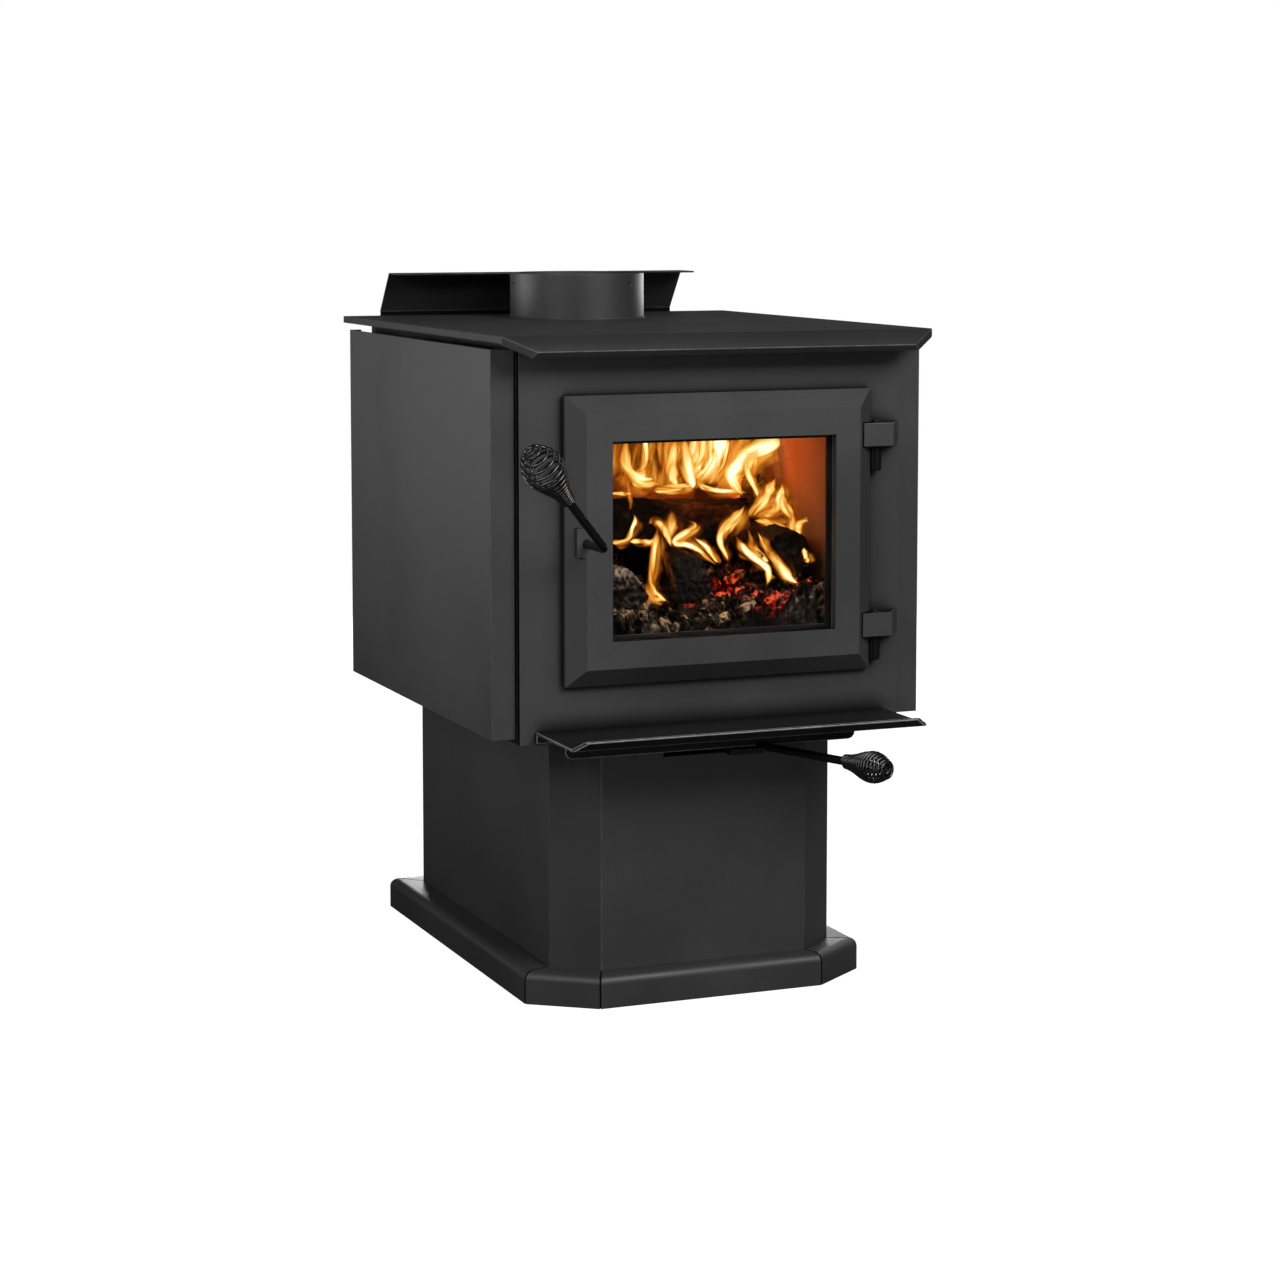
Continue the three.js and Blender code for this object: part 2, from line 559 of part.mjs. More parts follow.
// Open coil handle: the wire turns around +Z and swells between its neck and its end.
class HandleCoil extends THREE.Curve {
  constructor({ length, turns, neck, bulge, end }) {
    super();
    Object.assign(this, { length, turns, neck, bulge, end });
  }

  getPoint(t, target = new THREE.Vector3()) {
    const angle = 2 * Math.PI * this.turns * t;
    const swell = Math.abs(Math.sin(Math.PI * t ** BULGE_SKEW)) ** BULGE_SHARPNESS;
    const radius = THREE.MathUtils.lerp(this.neck, this.end, t) + this.bulge * swell;
    return target.set(radius * Math.cos(angle), radius * Math.sin(angle), this.length * t);
  }
}

function addHandleCoil(name, shape, start, direction) {
  const steps = shape.turns * HANDLE_STEPS_PER_TURN;
  const wire = rod(new HandleCoil(shape), HANDLE_WIRE, steps, HANDLE_WIRE_SIDES);
  const coil = add(name, 'darkPaint', wire);
  coil.position.copy(start);
  coil.quaternion.setFromUnitVectors(Z_AXIS, direction);
}

function buildLatch() {
  const bend = new THREE.Vector3(LATCH.x, LATCH_BEND_Y, LATCH.z);
  const bendRun = 10;
  const path = new THREE.CurvePath();
  const beforeBend = bend.clone().add(new THREE.Vector3(0, bendRun, 0));
  const afterBend = bend.clone().addScaledVector(LATCH_DIRECTION, bendRun);
  const rodEnd = bend.clone().addScaledVector(LATCH_DIRECTION, LATCH_ROD + 24);
  const shaftEnd = new THREE.Vector3(LATCH.x, LATCH_CAM.y[1] + 1, LATCH.z);
  path.add(new THREE.LineCurve3(shaftEnd, beforeBend));
  path.add(new THREE.QuadraticBezierCurve3(beforeBend, bend, afterBend));
  path.add(new THREE.LineCurve3(afterBend, rodEnd));
  add('latch_shaft', 'darkPaint', rod(path, LATCH_RADIUS, 32));

  const [camFront, camRear] = LATCH_CAM.y;
  const nose = box([LATCH.x - 3, LATCH.x + 3], LATCH_CAM.y, [LATCH.z, LATCH.z + LATCH_CAM.nose]);
  const disc = bore(LATCH.x, LATCH.z, LATCH_CAM.radius, LATCH_CAM.y, 20);
  const hole = bore(LATCH.x, LATCH.z, LATCH_RADIUS + GAP, [camFront - CUT, camRear + CUT]);
  add('latch_cam', 'steel', cut(join(disc, nose), hole));

  // hook on the face plate that the cam turns behind
  const [hookLow, hookHigh] = LATCH_CATCH.z;
  const hookArm = hookHigh - LATCH_CATCH.thickness;
  const hookFront = camFront - LATCH_CATCH.thickness + 2 * GAP;
  const hook = [
    [-GAP, hookHigh], [-GAP, hookArm], [camFront - GAP, hookArm], [camFront - GAP, hookLow],
    [hookFront, hookLow], [hookFront, hookHigh],
  ];
  add('latch_catch', 'steel', prismX(hook, LATCH_CATCH.x));

  const coilStart = bend.clone().addScaledVector(LATCH_DIRECTION, LATCH_ROD);
  addHandleCoil('door_handle_coil', DOOR_HANDLE, coilStart, LATCH_DIRECTION);
}

function buildAshLip() {
  const edgeRun = new THREE.Vector2(LIP_EDGE_Y - LIP_FOLD_Y, LIP_EDGE_Z - LIP_Z).normalize();
  const under = new THREE.Vector2(edgeRun.y, -edgeRun.x).multiplyScalar(-LIP_SHEET);
  const profile = [
    [-GAP, LIP_Z], [LIP_FOLD_Y, LIP_Z], [LIP_EDGE_Y, LIP_EDGE_Z],
    [LIP_EDGE_Y + under.x, LIP_EDGE_Z + under.y], [LIP_FOLD_Y - 1.3, LIP_Z - LIP_SHEET],
    [-GAP - LIP_SHEET, LIP_Z - LIP_SHEET], [-GAP - LIP_SHEET, BOX_BOTTOM + 2], [-GAP, BOX_BOTTOM + 2],
  ];
  const outline = [
    [-LIP_HALF_WIDTH, 0], [-LIP_HALF_WIDTH, LIP_FOLD_Y], [-LIP_EDGE_HALF_WIDTH, LIP_EDGE_Y - LIP_SHEET],
    [LIP_EDGE_HALF_WIDTH, LIP_EDGE_Y - LIP_SHEET], [LIP_HALF_WIDTH, LIP_FOLD_Y], [LIP_HALF_WIDTH, 0],
  ];
  const sheet = prismX(profile, [-LIP_HALF_WIDTH, LIP_HALF_WIDTH]);
  add('ash_lip', 'darkPaint', clip(sheet, prismZ(outline, [BOX_BOTTOM - CUT, LIP_EDGE_Z + CUT])));

  // angle bracket under the firebox, with its two lower corners rounded off
  const top = BOX_BOTTOM - GAP;
  const round = 8;
  const corner = [0, 30, 60, 90].map(THREE.MathUtils.degToRad);
  const rightCorner = corner.map((angle) => [
    LIP_BRACKET_HALF_WIDTH - round + round * Math.sin(angle),
    LIP_BRACKET_BOTTOM + round - round * Math.cos(angle),
  ]);
  const leftCorner = rightCorner.map(([x, z]) => [-x, z]).reverse();
  const apronOutline = [
    [-LIP_BRACKET_HALF_WIDTH, top], ...leftCorner, ...rightCorner, [LIP_BRACKET_HALF_WIDTH, top],
  ];
  const apron = prismY(apronOutline, [0, LIP_SHEET]);
  const flangeX = [-LIP_BRACKET_HALF_WIDTH, LIP_BRACKET_HALF_WIDTH];
  const flange = box(flangeX, [0, PEDESTAL.front - GAP], [top - LIP_SHEET, top]);
  add('ash_lip_bracket', 'darkPaint', join(apron, flange));
}

function buildAirControl() {
  const floorZ = BOX_BOTTOM - GAP;
  const plateZ = [floorZ - 3.5, floorZ - 0.5];
  const plateX = [AIR_PORT.x[0] - AIR_PLATE_MARGIN, AIR_PORT.x[1] + AIR_TRAVEL + AIR_PLATE_MARGIN];
  const plateY = [AIR_PORT.y[0] - 5, AIR_PORT.y[1] + 5];
  const plateHole = box(AIR_PORT.x, AIR_PORT.y, [plateZ[0] - CUT, plateZ[1] + CUT]);
  add('air_slide_plate', 'steel', cut(box(plateX, plateY, plateZ), plateHole));

  const trayX = [plateX[0] - AIR_TRAVEL - 5, plateX[1] + 5];
  const trayY = [plateY[0] - 3, plateY[1] + 3];
  const trayZ = [plateZ[0] - 4, floorZ];
  const slideRoom = box(
    [trayX[0] + 3, trayX[1] - 3], [plateY[0] - 0.5, plateY[1] + 0.5], [plateZ[0] - 0.5, trayZ[1] + CUT],
  );
  const trayHole = box([trayX[0] + 8, trayX[1] - 8], AIR_PORT.y, [trayZ[0] - CUT, trayZ[1]]);
  add('air_slide_guide', 'darkPaint', cut(box(trayX, trayY, trayZ), slideRoom, trayHole));

  const [barFront, barRear] = AIR_LEVER_Y;
  const [barBottom, barTop] = AIR_LEVER_Z;
  const tabFront = barRear - AIR_LEVER_TAB;
  const tabTop = plateZ[0] - GAP;
  const bar = prismX([
    [barFront, barTop], [barFront, barBottom], [barRear, barBottom], [barRear, tabTop],
    [tabFront, tabTop], [tabFront, barTop],
  ], AIR_LEVER_X);
  const rodStart = new THREE.Vector3(AIR_LEVER_X[1] - 6, 8, AIR_ROD_Z);
  const rodEnd = AIR_ROD_END.clone().addScaledVector(AIR_HANDLE_DIRECTION, 22);
  const path = new THREE.CurvePath();
  path.add(new THREE.LineCurve3(rodStart, AIR_ROD_END));
  path.add(new THREE.LineCurve3(AIR_ROD_END, rodEnd));
  const rodInFront = clip(rod(path, AIR_ROD_RADIUS, 10), box([-400, 400], [-400, -1], [0, 400]));
  add('air_lever', 'darkPaint', join(bar, rodInFront));
  addHandleCoil('air_handle_coil', AIR_HANDLE, AIR_ROD_END, AIR_HANDLE_DIRECTION);
}

const windowOpening = {
  x: [DOOR.x[0] + DOOR_BORDER, DOOR.x[1] - DOOR_BORDER],
  z: [DOOR.z[0] + DOOR_BORDER, DOOR.z[1] - DOOR_BORDER],
};
const sealInnerLap = GLASS_LAP + SEAL_WALL;
const firingMouth = {
  x: [windowOpening.x[0] - sealInnerLap + 2, windowOpening.x[1] + sealInnerLap - 2],
  z: [windowOpening.z[0] - sealInnerLap + 2, windowOpening.z[1] + sealInnerLap - 2],
};

buildBase();
buildPedestal();
buildFirebox(firingMouth);
buildTop();
buildShields();
buildLining();
buildDoor(windowOpening);
buildHinges();
buildLatch();
buildAshLip();
buildAirControl();

export default stove;
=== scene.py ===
"""Free-standing wood burning stove with a lit fire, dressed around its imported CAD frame."""

import math
import random

import bmesh
import bpy
from mathutils import Euler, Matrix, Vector, noise


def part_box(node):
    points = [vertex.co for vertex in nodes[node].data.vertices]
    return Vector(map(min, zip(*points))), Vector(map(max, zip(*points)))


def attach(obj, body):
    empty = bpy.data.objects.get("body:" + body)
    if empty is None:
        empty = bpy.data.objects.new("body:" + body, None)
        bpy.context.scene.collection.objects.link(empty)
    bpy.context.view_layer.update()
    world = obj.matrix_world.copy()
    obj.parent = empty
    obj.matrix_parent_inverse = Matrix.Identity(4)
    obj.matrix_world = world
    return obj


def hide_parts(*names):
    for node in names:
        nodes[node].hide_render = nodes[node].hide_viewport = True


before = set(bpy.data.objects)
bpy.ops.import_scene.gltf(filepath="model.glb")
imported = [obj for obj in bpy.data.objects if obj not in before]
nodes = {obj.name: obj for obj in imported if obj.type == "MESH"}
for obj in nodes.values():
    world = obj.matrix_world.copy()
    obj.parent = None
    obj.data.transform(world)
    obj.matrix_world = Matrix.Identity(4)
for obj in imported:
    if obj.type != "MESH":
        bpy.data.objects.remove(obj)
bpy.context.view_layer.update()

MM = 0.001
TURN = 2 * math.pi
UP, FORWARDS, BACKWARDS = Vector((0, 0, 1)), Vector((0, -1, 0)), Vector((0, 1, 0))

# ---------------------------------------------------------------- places read from the frame
glass_low, glass_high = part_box("door_glass")
GLASS_LAP = 5 * MM  # how far the glass runs past the window on each side
DOOR_FRONT_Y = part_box("door_frame")[0].y
WINDOW_X = (glass_low.x + GLASS_LAP, glass_high.x - GLASS_LAP)
WINDOW_Z = (glass_low.z + GLASS_LAP, glass_high.z - GLASS_LAP)
HEARTH_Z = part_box("floor_brick_1")[1].z
HEARTH_X = (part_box("side_brick_left_1")[1].x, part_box("side_brick_right_1")[0].x)
HEARTH_Y = (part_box("face_plate")[1].y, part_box("rear_brick_left")[0].y)
TOP_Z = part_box("top_plate")[1].z

# ---------------------------------------------------------------- camera
CAMERA_PLACE = Vector((-1.2688, -3.1741, 0.8644))
CAMERA_HEADING = 22.15  # degrees, from straight ahead towards +X
CAMERA_PITCH = 5.53  # degrees, downwards
CAMERA_SHIFT = -0.12
CAMERA_LENS = 83.9


def lerp(low, high, share):
    return low + (high - low) * share


def smoothstep(low, high, value):
    share = min(1.0, max(0.0, (value - low) / (high - low)))
    return share * share * (3 - 2 * share)


def make_camera():
    data = bpy.data.cameras.new("camera")
    data.lens = CAMERA_LENS
    data.shift_y = CAMERA_SHIFT
    camera = bpy.data.objects.new("camera", data)
    camera.location = CAMERA_PLACE
    tilt = math.radians(90 - CAMERA_PITCH)
    camera.rotation_euler = Euler((tilt, 0, math.radians(-CAMERA_HEADING)))
    bpy.context.collection.objects.link(camera)
    bpy.context.scene.camera = camera


def through_window(across, up, depth):
    """The point that deep behind the door's front that is seen at that share of its window."""
    point = Vector((lerp(*WINDOW_X, across), DOOR_FRONT_Y, lerp(*WINDOW_Z, up)))
    ray = point - CAMERA_PLACE
    return point + ray * (depth / ray.y)


# ---------------------------------------------------------------- materials
class Surface:
    """One material's node tree, with short names for the nodes that are used most."""

    def __init__(self, name, **sockets):
        self.material = bpy.data.materials.new(name)
        self.material.use_nodes = True
        self.tree = self.material.node_tree
        self.shader = self.tree.nodes["Principled BSDF"]
        self.object_place = self.add("TexCoord").outputs["Object"]
        self.set(**sockets)

    def feed(self, node, socket, value):
        if isinstance(value, bpy.types.NodeSocket):
            self.tree.links.new(value, node.inputs[socket])
        else:
            node.inputs[socket].default_value = value

    def set(self, **sockets):
        for socket, value in sockets.items():
            self.feed(self.shader, socket.replace("_", " "), value)

    def add(self, kind, inputs=None, **settings):
        node = self.tree.nodes.new("ShaderNode" + kind)
        for key, value in settings.items():
            setattr(node, key, value)
        for socket, value in (inputs or {}).items():
            self.feed(node, socket, value)
        return node

    def stretched(self, scale, vector=None):
        inputs = {"Vector": vector or self.object_place, "Scale": scale}
        return self.add("Mapping", inputs).outputs["Vector"]

    def noise(self, scale, detail=3, vector=None, distortion=0):
        inputs = {"Vector": vector or self.object_place, "Scale": scale, "Detail": detail}
        return self.add("TexNoise", {**inputs, "Distortion": distortion}).outputs["Fac"]

    def cells(self, scale, feature="F1", vector=None):
        inputs = {"Vector": vector or self.object_place, "Scale": scale}
        return self.add("TexVoronoi", inputs, feature=feature).outputs["Distance"]

    def remap(self, value, from_low, from_high, to_low=0.0, to_high=1.0, smooth=False):
        inputs = {"Value": value, "From Min": from_low, "From Max": from_high}
        inputs.update({"To Min": to_low, "To Max": to_high})
        kind = "SMOOTHSTEP" if smooth else "LINEAR"
        return self.add("MapRange", inputs, interpolation_type=kind).outputs["Result"]

    def math(self, operation, a, b=0.0):
        return self.add("Math", {0: a, 1: b}, operation=operation).outputs[0]

    def attribute(self, name, output="Fac"):
        return self.add("Attribute", attribute_name=name).outputs[output]

    def ramp(self, value, *stops):
        node = self.add("ValToRGB", {"Fac": value})
        elements = node.color_ramp.elements
        while len(elements) < len(stops):
            elements.new(1.0)
        for element, (place, colour) in zip(elements, stops):
            element.position = place
            element.color = (*colour, 1)
        return node.outputs["Color"]

    def mix(self, share, a, b):
        node = self.add("Mix", data_type="RGBA")
        self.feed(node, "Factor", share)
        for index, value in ((6, a), (7, b)):
            solid = value if isinstance(value, bpy.types.NodeSocket) else (*value, 1)
            self.feed(node, index, solid)
        return node.outputs[2]

    def bump(self, height, distance, strength=1.0, below=None):
        inputs = {"Height": height, "Distance": distance, "Strength": strength}
        node = self.add("Bump", inputs)
        if below:
            self.feed(node, "Normal", below)
        return node.outputs["Normal"]


def tinted(colour, factor):
    return tuple(channel * factor for channel in colour)


def grey(value):
    return (value, value, value * 1.03)


PAINT_GRAIN = 1500  # scale of the paint's sandy grain
# colour of the painted shade that paint() lays on faces turned one way and near other pieces: nearly black
PAINTED_SHADE_TONE = 0.0012


def paint(name, tone, roughness, specular=0.5, shaded_faces=None, contact_shade_reach=None):
    """High-temperature stove paint: sandy grain and a faint cloudiness.
    Faces turned the given direction get painted shade, nearly black and with little gloss; the given reach
    paints shade the same way near other pieces, through an ambient occlusion node."""
    surface = Surface(name)
    grain = surface.noise(PAINT_GRAIN, 2)
    cloud = surface.noise(7, 5, distortion=0.4)
    colour = surface.ramp(cloud, (0.3, grey(tone * 0.82)), (0.7, grey(tone * 1.18)))
    speck = surface.remap(grain, 0.62, 0.74)
    colour = surface.mix(speck, colour, grey(tone * 2.2))
    rough = surface.remap(cloud, 0.3, 0.7, roughness - 0.05, roughness + 0.05)
    # painted shade: faces turned one way, and places near other pieces, go nearly black and lose their
    # gloss
    dark = None
    if shaded_faces:
        normal = surface.add("NewGeometry").outputs["Normal"]
        facing = surface.add("VectorMath", {0: normal, 1: shaded_faces}, operation="DOT_PRODUCT")
        dark = surface.remap(facing.outputs["Value"], 0.85, 0.95)
    if contact_shade_reach:
        open_share = surface.add("AmbientOcclusion", {"Distance": contact_shade_reach}, samples=8).outputs["AO"]
        shade = surface.remap(open_share, 0.5, 0.97, 0.88, 0)
        dark = surface.math("MAXIMUM", dark, shade) if dark else shade
    if dark:
        colour = surface.mix(dark, colour, grey(PAINTED_SHADE_TONE))
        surface.set(Specular_IOR_Level=surface.remap(dark, 0, 1, specular, 0.04))
    else:
        surface.set(Specular_IOR_Level=specular)
    surface.set(Base_Color=colour, Roughness=rough)
    ripple = surface.bump(surface.noise(90, 2), 0.12 * MM, 0.5)
    surface.set(Normal=surface.bump(grain, 0.1 * MM, 0.55, ripple))
    return surface.material


def highlit_worn_edge(name, tone, worn, roughness):
    """The same paint along an edge, made lighter as a painted highlight, with patches of wear that are
    lighter and smoother still.
    """
    surface = Surface(name)
    wear = surface.remap(surface.noise(60, 6, distortion=0.5), 0.42, 0.62)
    surface.set(Base_Color=surface.mix(wear, grey(tone), grey(worn)))
    surface.set(Roughness=surface.remap(wear, 0, 1, roughness, roughness - 0.12))
    surface.set(Normal=surface.bump(surface.noise(PAINT_GRAIN, 2), 0.08 * MM, 0.4))
    return surface.material


def bare_steel(name, tint, soot=0.35):
    """Rolled steel with drawn lines and heat tint."""
    surface = Surface(name, Metallic=0.9)
    lines = surface.noise(1, 3, surface.stretched((900, 900, 60)))
    heat = surface.noise(18, 4)
    colour = surface.ramp(
        heat, (0.3, tinted(tint, 0.55)), (0.5, tint), (0.62, (0.34, 0.22, 0.12)), (0.75, tint),
    )
    black = surface.remap(surface.noise(35, 5), 0.62 - soot, 0.8 - soot)
    surface.set(Base_Color=surface.mix(black, colour, grey(0.03)))
    surface.set(Roughness=surface.remap(lines, 0.3, 0.7, 0.32, 0.55))
    surface.set(Normal=surface.bump(lines, 0.05 * MM, 0.4))
    return surface.material


def firebrick(name):
    """Pressed refractory brick with pits, hairline cracks and soot that the fire has burnt in."""
    surface = Surface(name)
    grain = surface.noise(420, 4)
    pits = surface.remap(surface.cells(160), 0.05, 0.22)
    waver = surface.add("TexNoise", {"Vector": surface.object_place, "Scale": 30}).outputs["Color"]
    crack_place = surface.mix(0.08, surface.object_place, waver)
    cracks = surface.cells(6, "DISTANCE_TO_EDGE", crack_place)
    open_crack = surface.remap(cracks, 0.0, 0.006, 0.5, 0)
    clay = surface.ramp(grain, (0.3, (0.25, 0.16, 0.09)), (0.7, (0.34, 0.24, 0.15)))
    soot = surface.remap(surface.noise(5, 6, distortion=0.8), 0.36, 0.66)
    colour = surface.mix(surface.math("MULTIPLY", soot, 0.72), clay, (0.05, 0.032, 0.024))
    colour = surface.mix(open_crack, colour, (0.02, 0.015, 0.01))
    surface.set(Base_Color=colour, Roughness=0.93, Specular_IOR_Level=0.2)
    deep = surface.bump(pits, 0.8 * MM, 0.6)
    surface.set(Normal=surface.bump(grain, 0.4 * MM, 0.7, deep))
    return surface.material


def ceramic_fibre(name):
    surface = Surface(name, Roughness=0.96, Specular_IOR_Level=0.1)
    fibres = surface.noise(1, 5, surface.stretched((60, 300, 300)), distortion=2)
    colour = surface.ramp(fibres, (0.3, (0.42, 0.38, 0.32)), (0.7, (0.72, 0.70, 0.65)))
    soot = surface.remap(surface.noise(6, 5), 0.4, 0.7)
    surface.set(Base_Color=surface.mix(soot, colour, (0.16, 0.14, 0.12)))
    surface.set(Normal=surface.bump(fibres, 1.2 * MM, 0.8))
    return surface.material


def glass_rope(name):
    """Knitted glass-fibre rope, greyed by soot."""
    surface = Surface(name, Roughness=0.88, Specular_IOR_Level=0.25, Sheen_Weight=0.3)
    yarn = surface.noise(1, 2, surface.stretched((1400, 1400, 1400)), distortion=1.5)
    colour = surface.ramp(yarn, (0.3, grey(0.06)), (0.7, grey(0.22)))
    soot = surface.remap(surface.noise(12, 4), 0.45, 0.6)
    surface.set(Base_Color=surface.mix(soot, colour, grey(0.035)))
    surface.set(Normal=surface.bump(yarn, 0.4 * MM, 0.8))
    return surface.material


def ceramic_glass(name):
    """Clear ceramic glass with a breath of smoke haze, in patches."""
    surface = Surface(name, Transmission_Weight=1.0, IOR=1.16)
    haze = surface.remap(surface.noise(11, 5, distortion=0.6), 0.5, 0.85, 0, 0.02)
    surface.set(Roughness=haze)
    tint = surface.remap(surface.noise(6, 3), 0.3, 0.8)
    surface.set(Base_Color=surface.mix(tint, (0.99, 0.97, 0.94), (0.93, 0.89, 0.82)))
    return surface.material


def charred_wood(name):
    """Burning wood: cracked char, pale ash on the ridges, and glow deep in the cracks."""
    surface = Surface(name, Roughness=0.9, Specular_IOR_Level=0.12)
    crack = surface.attribute("crack")
    ashy = surface.attribute("ash")
    glow = surface.attribute("glow")
    grain = surface.noise(260, 5)
    char = surface.ramp(grain, (0.3, (0.0015, 0.0014, 0.0014)), (0.75, (0.012, 0.0125, 0.015)))
    ash = surface.ramp(surface.noise(120, 4), (0.3, (0.09, 0.075, 0.065)), (0.7, (0.34, 0.29, 0.25)))
    cover = surface.math("MULTIPLY", ashy, surface.remap(surface.noise(45, 5), 0.4, 0.62))
    surface.set(Base_Color=surface.mix(cover, char, ash))
    patchy = surface.remap(surface.noise(38, 4), 0.44, 0.62)
    heat = surface.math("MULTIPLY", surface.math("MULTIPLY", glow, patchy), crack)
    ember = surface.ramp(
        heat, (0.05, (0.25, 0.006, 0.0)), (0.4, (1.0, 0.07, 0.01)), (0.9, (1, 0.5, 0.12)),
    )
    surface.set(Emission_Color=ember, Emission_Strength=surface.remap(heat, 0.04, 0.9, 0, 3.5))
    surface.set(Normal=surface.bump(grain, 0.9 * MM, 0.8))
    return surface.material


def coals(name):
    """Ember bed: grey-brown ash and black char, with red heat where it still burns."""
    surface = Surface(name, Roughness=0.92, Specular_IOR_Level=0.12)
    mottle = surface.remap(surface.noise(150, 6), 0.3, 0.7, -0.36, 0.36)
    tone = surface.math("ADD", surface.attribute("tone"), mottle)
    colour = surface.ramp(
        tone, (0.15, (0.003, 0.0025, 0.0025)), (0.5, (0.022, 0.017, 0.015)),
        (0.72, (0.075, 0.055, 0.042)), (0.98, (0.36, 0.25, 0.14)),
    )
    surface.set(Base_Color=colour)
    patchy = surface.remap(surface.noise(110, 5), 0.42, 0.62)
    heat = surface.math("MULTIPLY", surface.attribute("glow"), patchy)
    ember = surface.ramp(
        heat, (0.08, (0.16, 0.003, 0.0)), (0.5, (0.72, 0.026, 0.010)), (0.95, (0.95, 0.13, 0.03)),
    )
    surface.set(Emission_Color=ember, Emission_Strength=surface.remap(heat, 0.05, 1, 0, 0.95))
    surface.set(Normal=surface.bump(surface.noise(330, 4), 0.9 * MM, 0.8))
    return surface.material


def flame(name):
    """Fire: thin and orange where it is cool, cream where it is dense."""
    surface = Surface(name, Base_Color=(0, 0, 0, 1), Roughness=1.0, Specular_IOR_Level=0.0)
    flow = surface.attribute("flow", "Vector")
    streak = surface.noise(1.0, 2, surface.stretched((0.9, 0.9, 1), flow), distortion=0.9)
    mottle = surface.remap(streak, 0.3, 0.7, 0.22, 1.3)
    density = surface.math("MULTIPLY", surface.attribute("burn"), mottle)
    colour = surface.ramp(
        density, (0.05, (0.55, 0.08, 0.004)), (0.25, (0.95, 0.28, 0.02)), (0.45, (1, 0.50, 0.08)),
        (0.66, (1, 0.74, 0.27)), (0.9, (1, 0.93, 0.62)),
    )
    surface.set(Emission_Color=colour, Emission_Strength=surface.remap(density, 0, 1, 0.75, 1.55))
    surface.set(Alpha=surface.remap(density, 0.04, 0.72, 0, 0.95, smooth=True))
    return surface.material


# ---------------------------------------------------------------- mesh helpers
def piece(name, mesh_or_bmesh, material, body, replaces=(), smooth=True):
    """Makes a visible piece that moves with a body and takes its finish from a slot."""
    mesh = mesh_or_bmesh
    if isinstance(mesh, bmesh.types.BMesh):
        bmesh.ops.recalc_face_normals(mesh, faces=mesh.faces)
        solid, mesh = mesh, bpy.data.meshes.new(name)
        solid.to_mesh(mesh)
        solid.free()
    for face in mesh.polygons:
        face.use_smooth = smooth
    obj = bpy.data.objects.new(name, mesh)
    bpy.context.collection.objects.link(obj)
    mesh.materials.append(material)
    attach(obj, body)
    if replaces:
        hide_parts(*replaces)
    return obj


def loft(solid, rings, closed_loop=False):
    """Joins rings of points, each as long as the last, into a tube with its ends closed."""
    rows = [[solid.verts.new(point) for point in ring] for ring in rings]
    pairs = list(zip(rows, rows[1:]))
    if closed_loop:
        pairs.append((rows[-1], rows[0]))
    for row, after in pairs:
        for index in range(len(row)):
            beside = (index + 1) % len(row)
            solid.faces.new((row[index], row[beside], after[beside], after[index]))
    if not closed_loop:
        solid.faces.new(rows[0][::-1])
        solid.faces.new(rows[-1])
    return rows


def square_to(direction):
    """Two unit vectors that are square to a direction and to each other."""
    helper = UP if abs(direction.z) < 0.9 else Vector((1, 0, 0))
    side = direction.cross(helper).normalized()
    return side, side.cross(direction).normalized()


def sweep(solid, path, radius, sides, closed_loop=False):
    """A round wire along a path. radius may be one number or one for each point."""
    radii = radius if isinstance(radius, list) else [radius] * len(path)
    count = len(path)
    rings = []
    side = None
    for index, point in enumerate(path):
        before = path[index - 1] if index or closed_loop else point
        after = path[(index + 1) % count] if index < count - 1 or closed_loop else point
        along = (after - before).normalized()
        if side is None:
            side, _ = square_to(along)
        side = (side - along * side.dot(along)).normalized()
        other = along.cross(side)
        ring = [
            point + (side * math.cos(TURN * k / sides) + other * math.sin(TURN * k / sides)) * radii[index]
            for k in range(sides)
        ]
        rings.append(ring)
    loft(solid, rings, closed_loop)


def turned(solid, place, axis, profile, segments=24, hexagon=()):
    """Turns a profile of (radius, height) pairs round an axis. The listed rings are hexagons."""
    side, other = square_to(axis)
    rings = []
    for index, (radius, height) in enumerate(profile):
        ring = []
        for k in range(segments):
            angle = TURN * k / segments
            reach = radius
            if index in hexagon:
                reach = radius * math.cos(TURN / 12) / math.cos((angle % (TURN / 6)) - TURN / 12)
            ring.append(place + axis * height + (side * math.cos(angle) + other * math.sin(angle)) * reach)
        rings.append(ring)
    loft(solid, rings)


# ---------------------------------------------------------------- CAD nodes
def dress(names, material, bevel=0.8, edge=None):
    """Gives CAD nodes their material, and fine rounded edges that may have a material of their own, such
    as the lighter edge paint with its painted highlight.
    """
    for name in names:
        obj = nodes[name]
        obj.data.materials.clear()
        obj.data.materials.append(material)
        obj.data.materials.append(edge or material)
        weld = obj.modifiers.new("weld", "WELD")
        weld.merge_threshold = 0.01 * MM
        flat = obj.modifiers.new("flat", "DECIMATE")
        flat.decimate_type = "DISSOLVE"
        flat.angle_limit = math.radians(1)
        rounding = obj.modifiers.new("rounding", "BEVEL")
        rounding.width = bevel * MM
        rounding.segments = 2
        rounding.limit_method = "ANGLE"
        rounding.angle_limit = math.radians(35)
        # the bevel faces take the second material: on most pieces a painted highlight along the edge
        rounding.material = 1
        normals = obj.modifiers.new("normals", "WEIGHTED_NORMAL")
        normals.weight = 60


def starting(*prefixes):
    return [name for name in nodes if name.startswith(prefixes)]


# ---------------------------------------------------------------- handles
HANDLE_WIRE = 1.5 * MM
LATCH_PLACE = Vector((-0.154, -0.266, 0.5045))
LATCH_REACH = 0.076  # from the face plate to the bend of the handle
LATCH_AXIS = Vector((-0.642, -0.368, 0.673)).normalized()
LATCH_ROD = 0.079  # from the bend to the start of the coil
LATCH_ROD_RADIUS = 4.6 * MM
LATCH_BEND_RADIUS = 15 * MM
AIR_ROD_END = Vector((0.108, -0.367, 0.2698))
AIR_AXIS = Vector((19, -60, 0)).normalized()


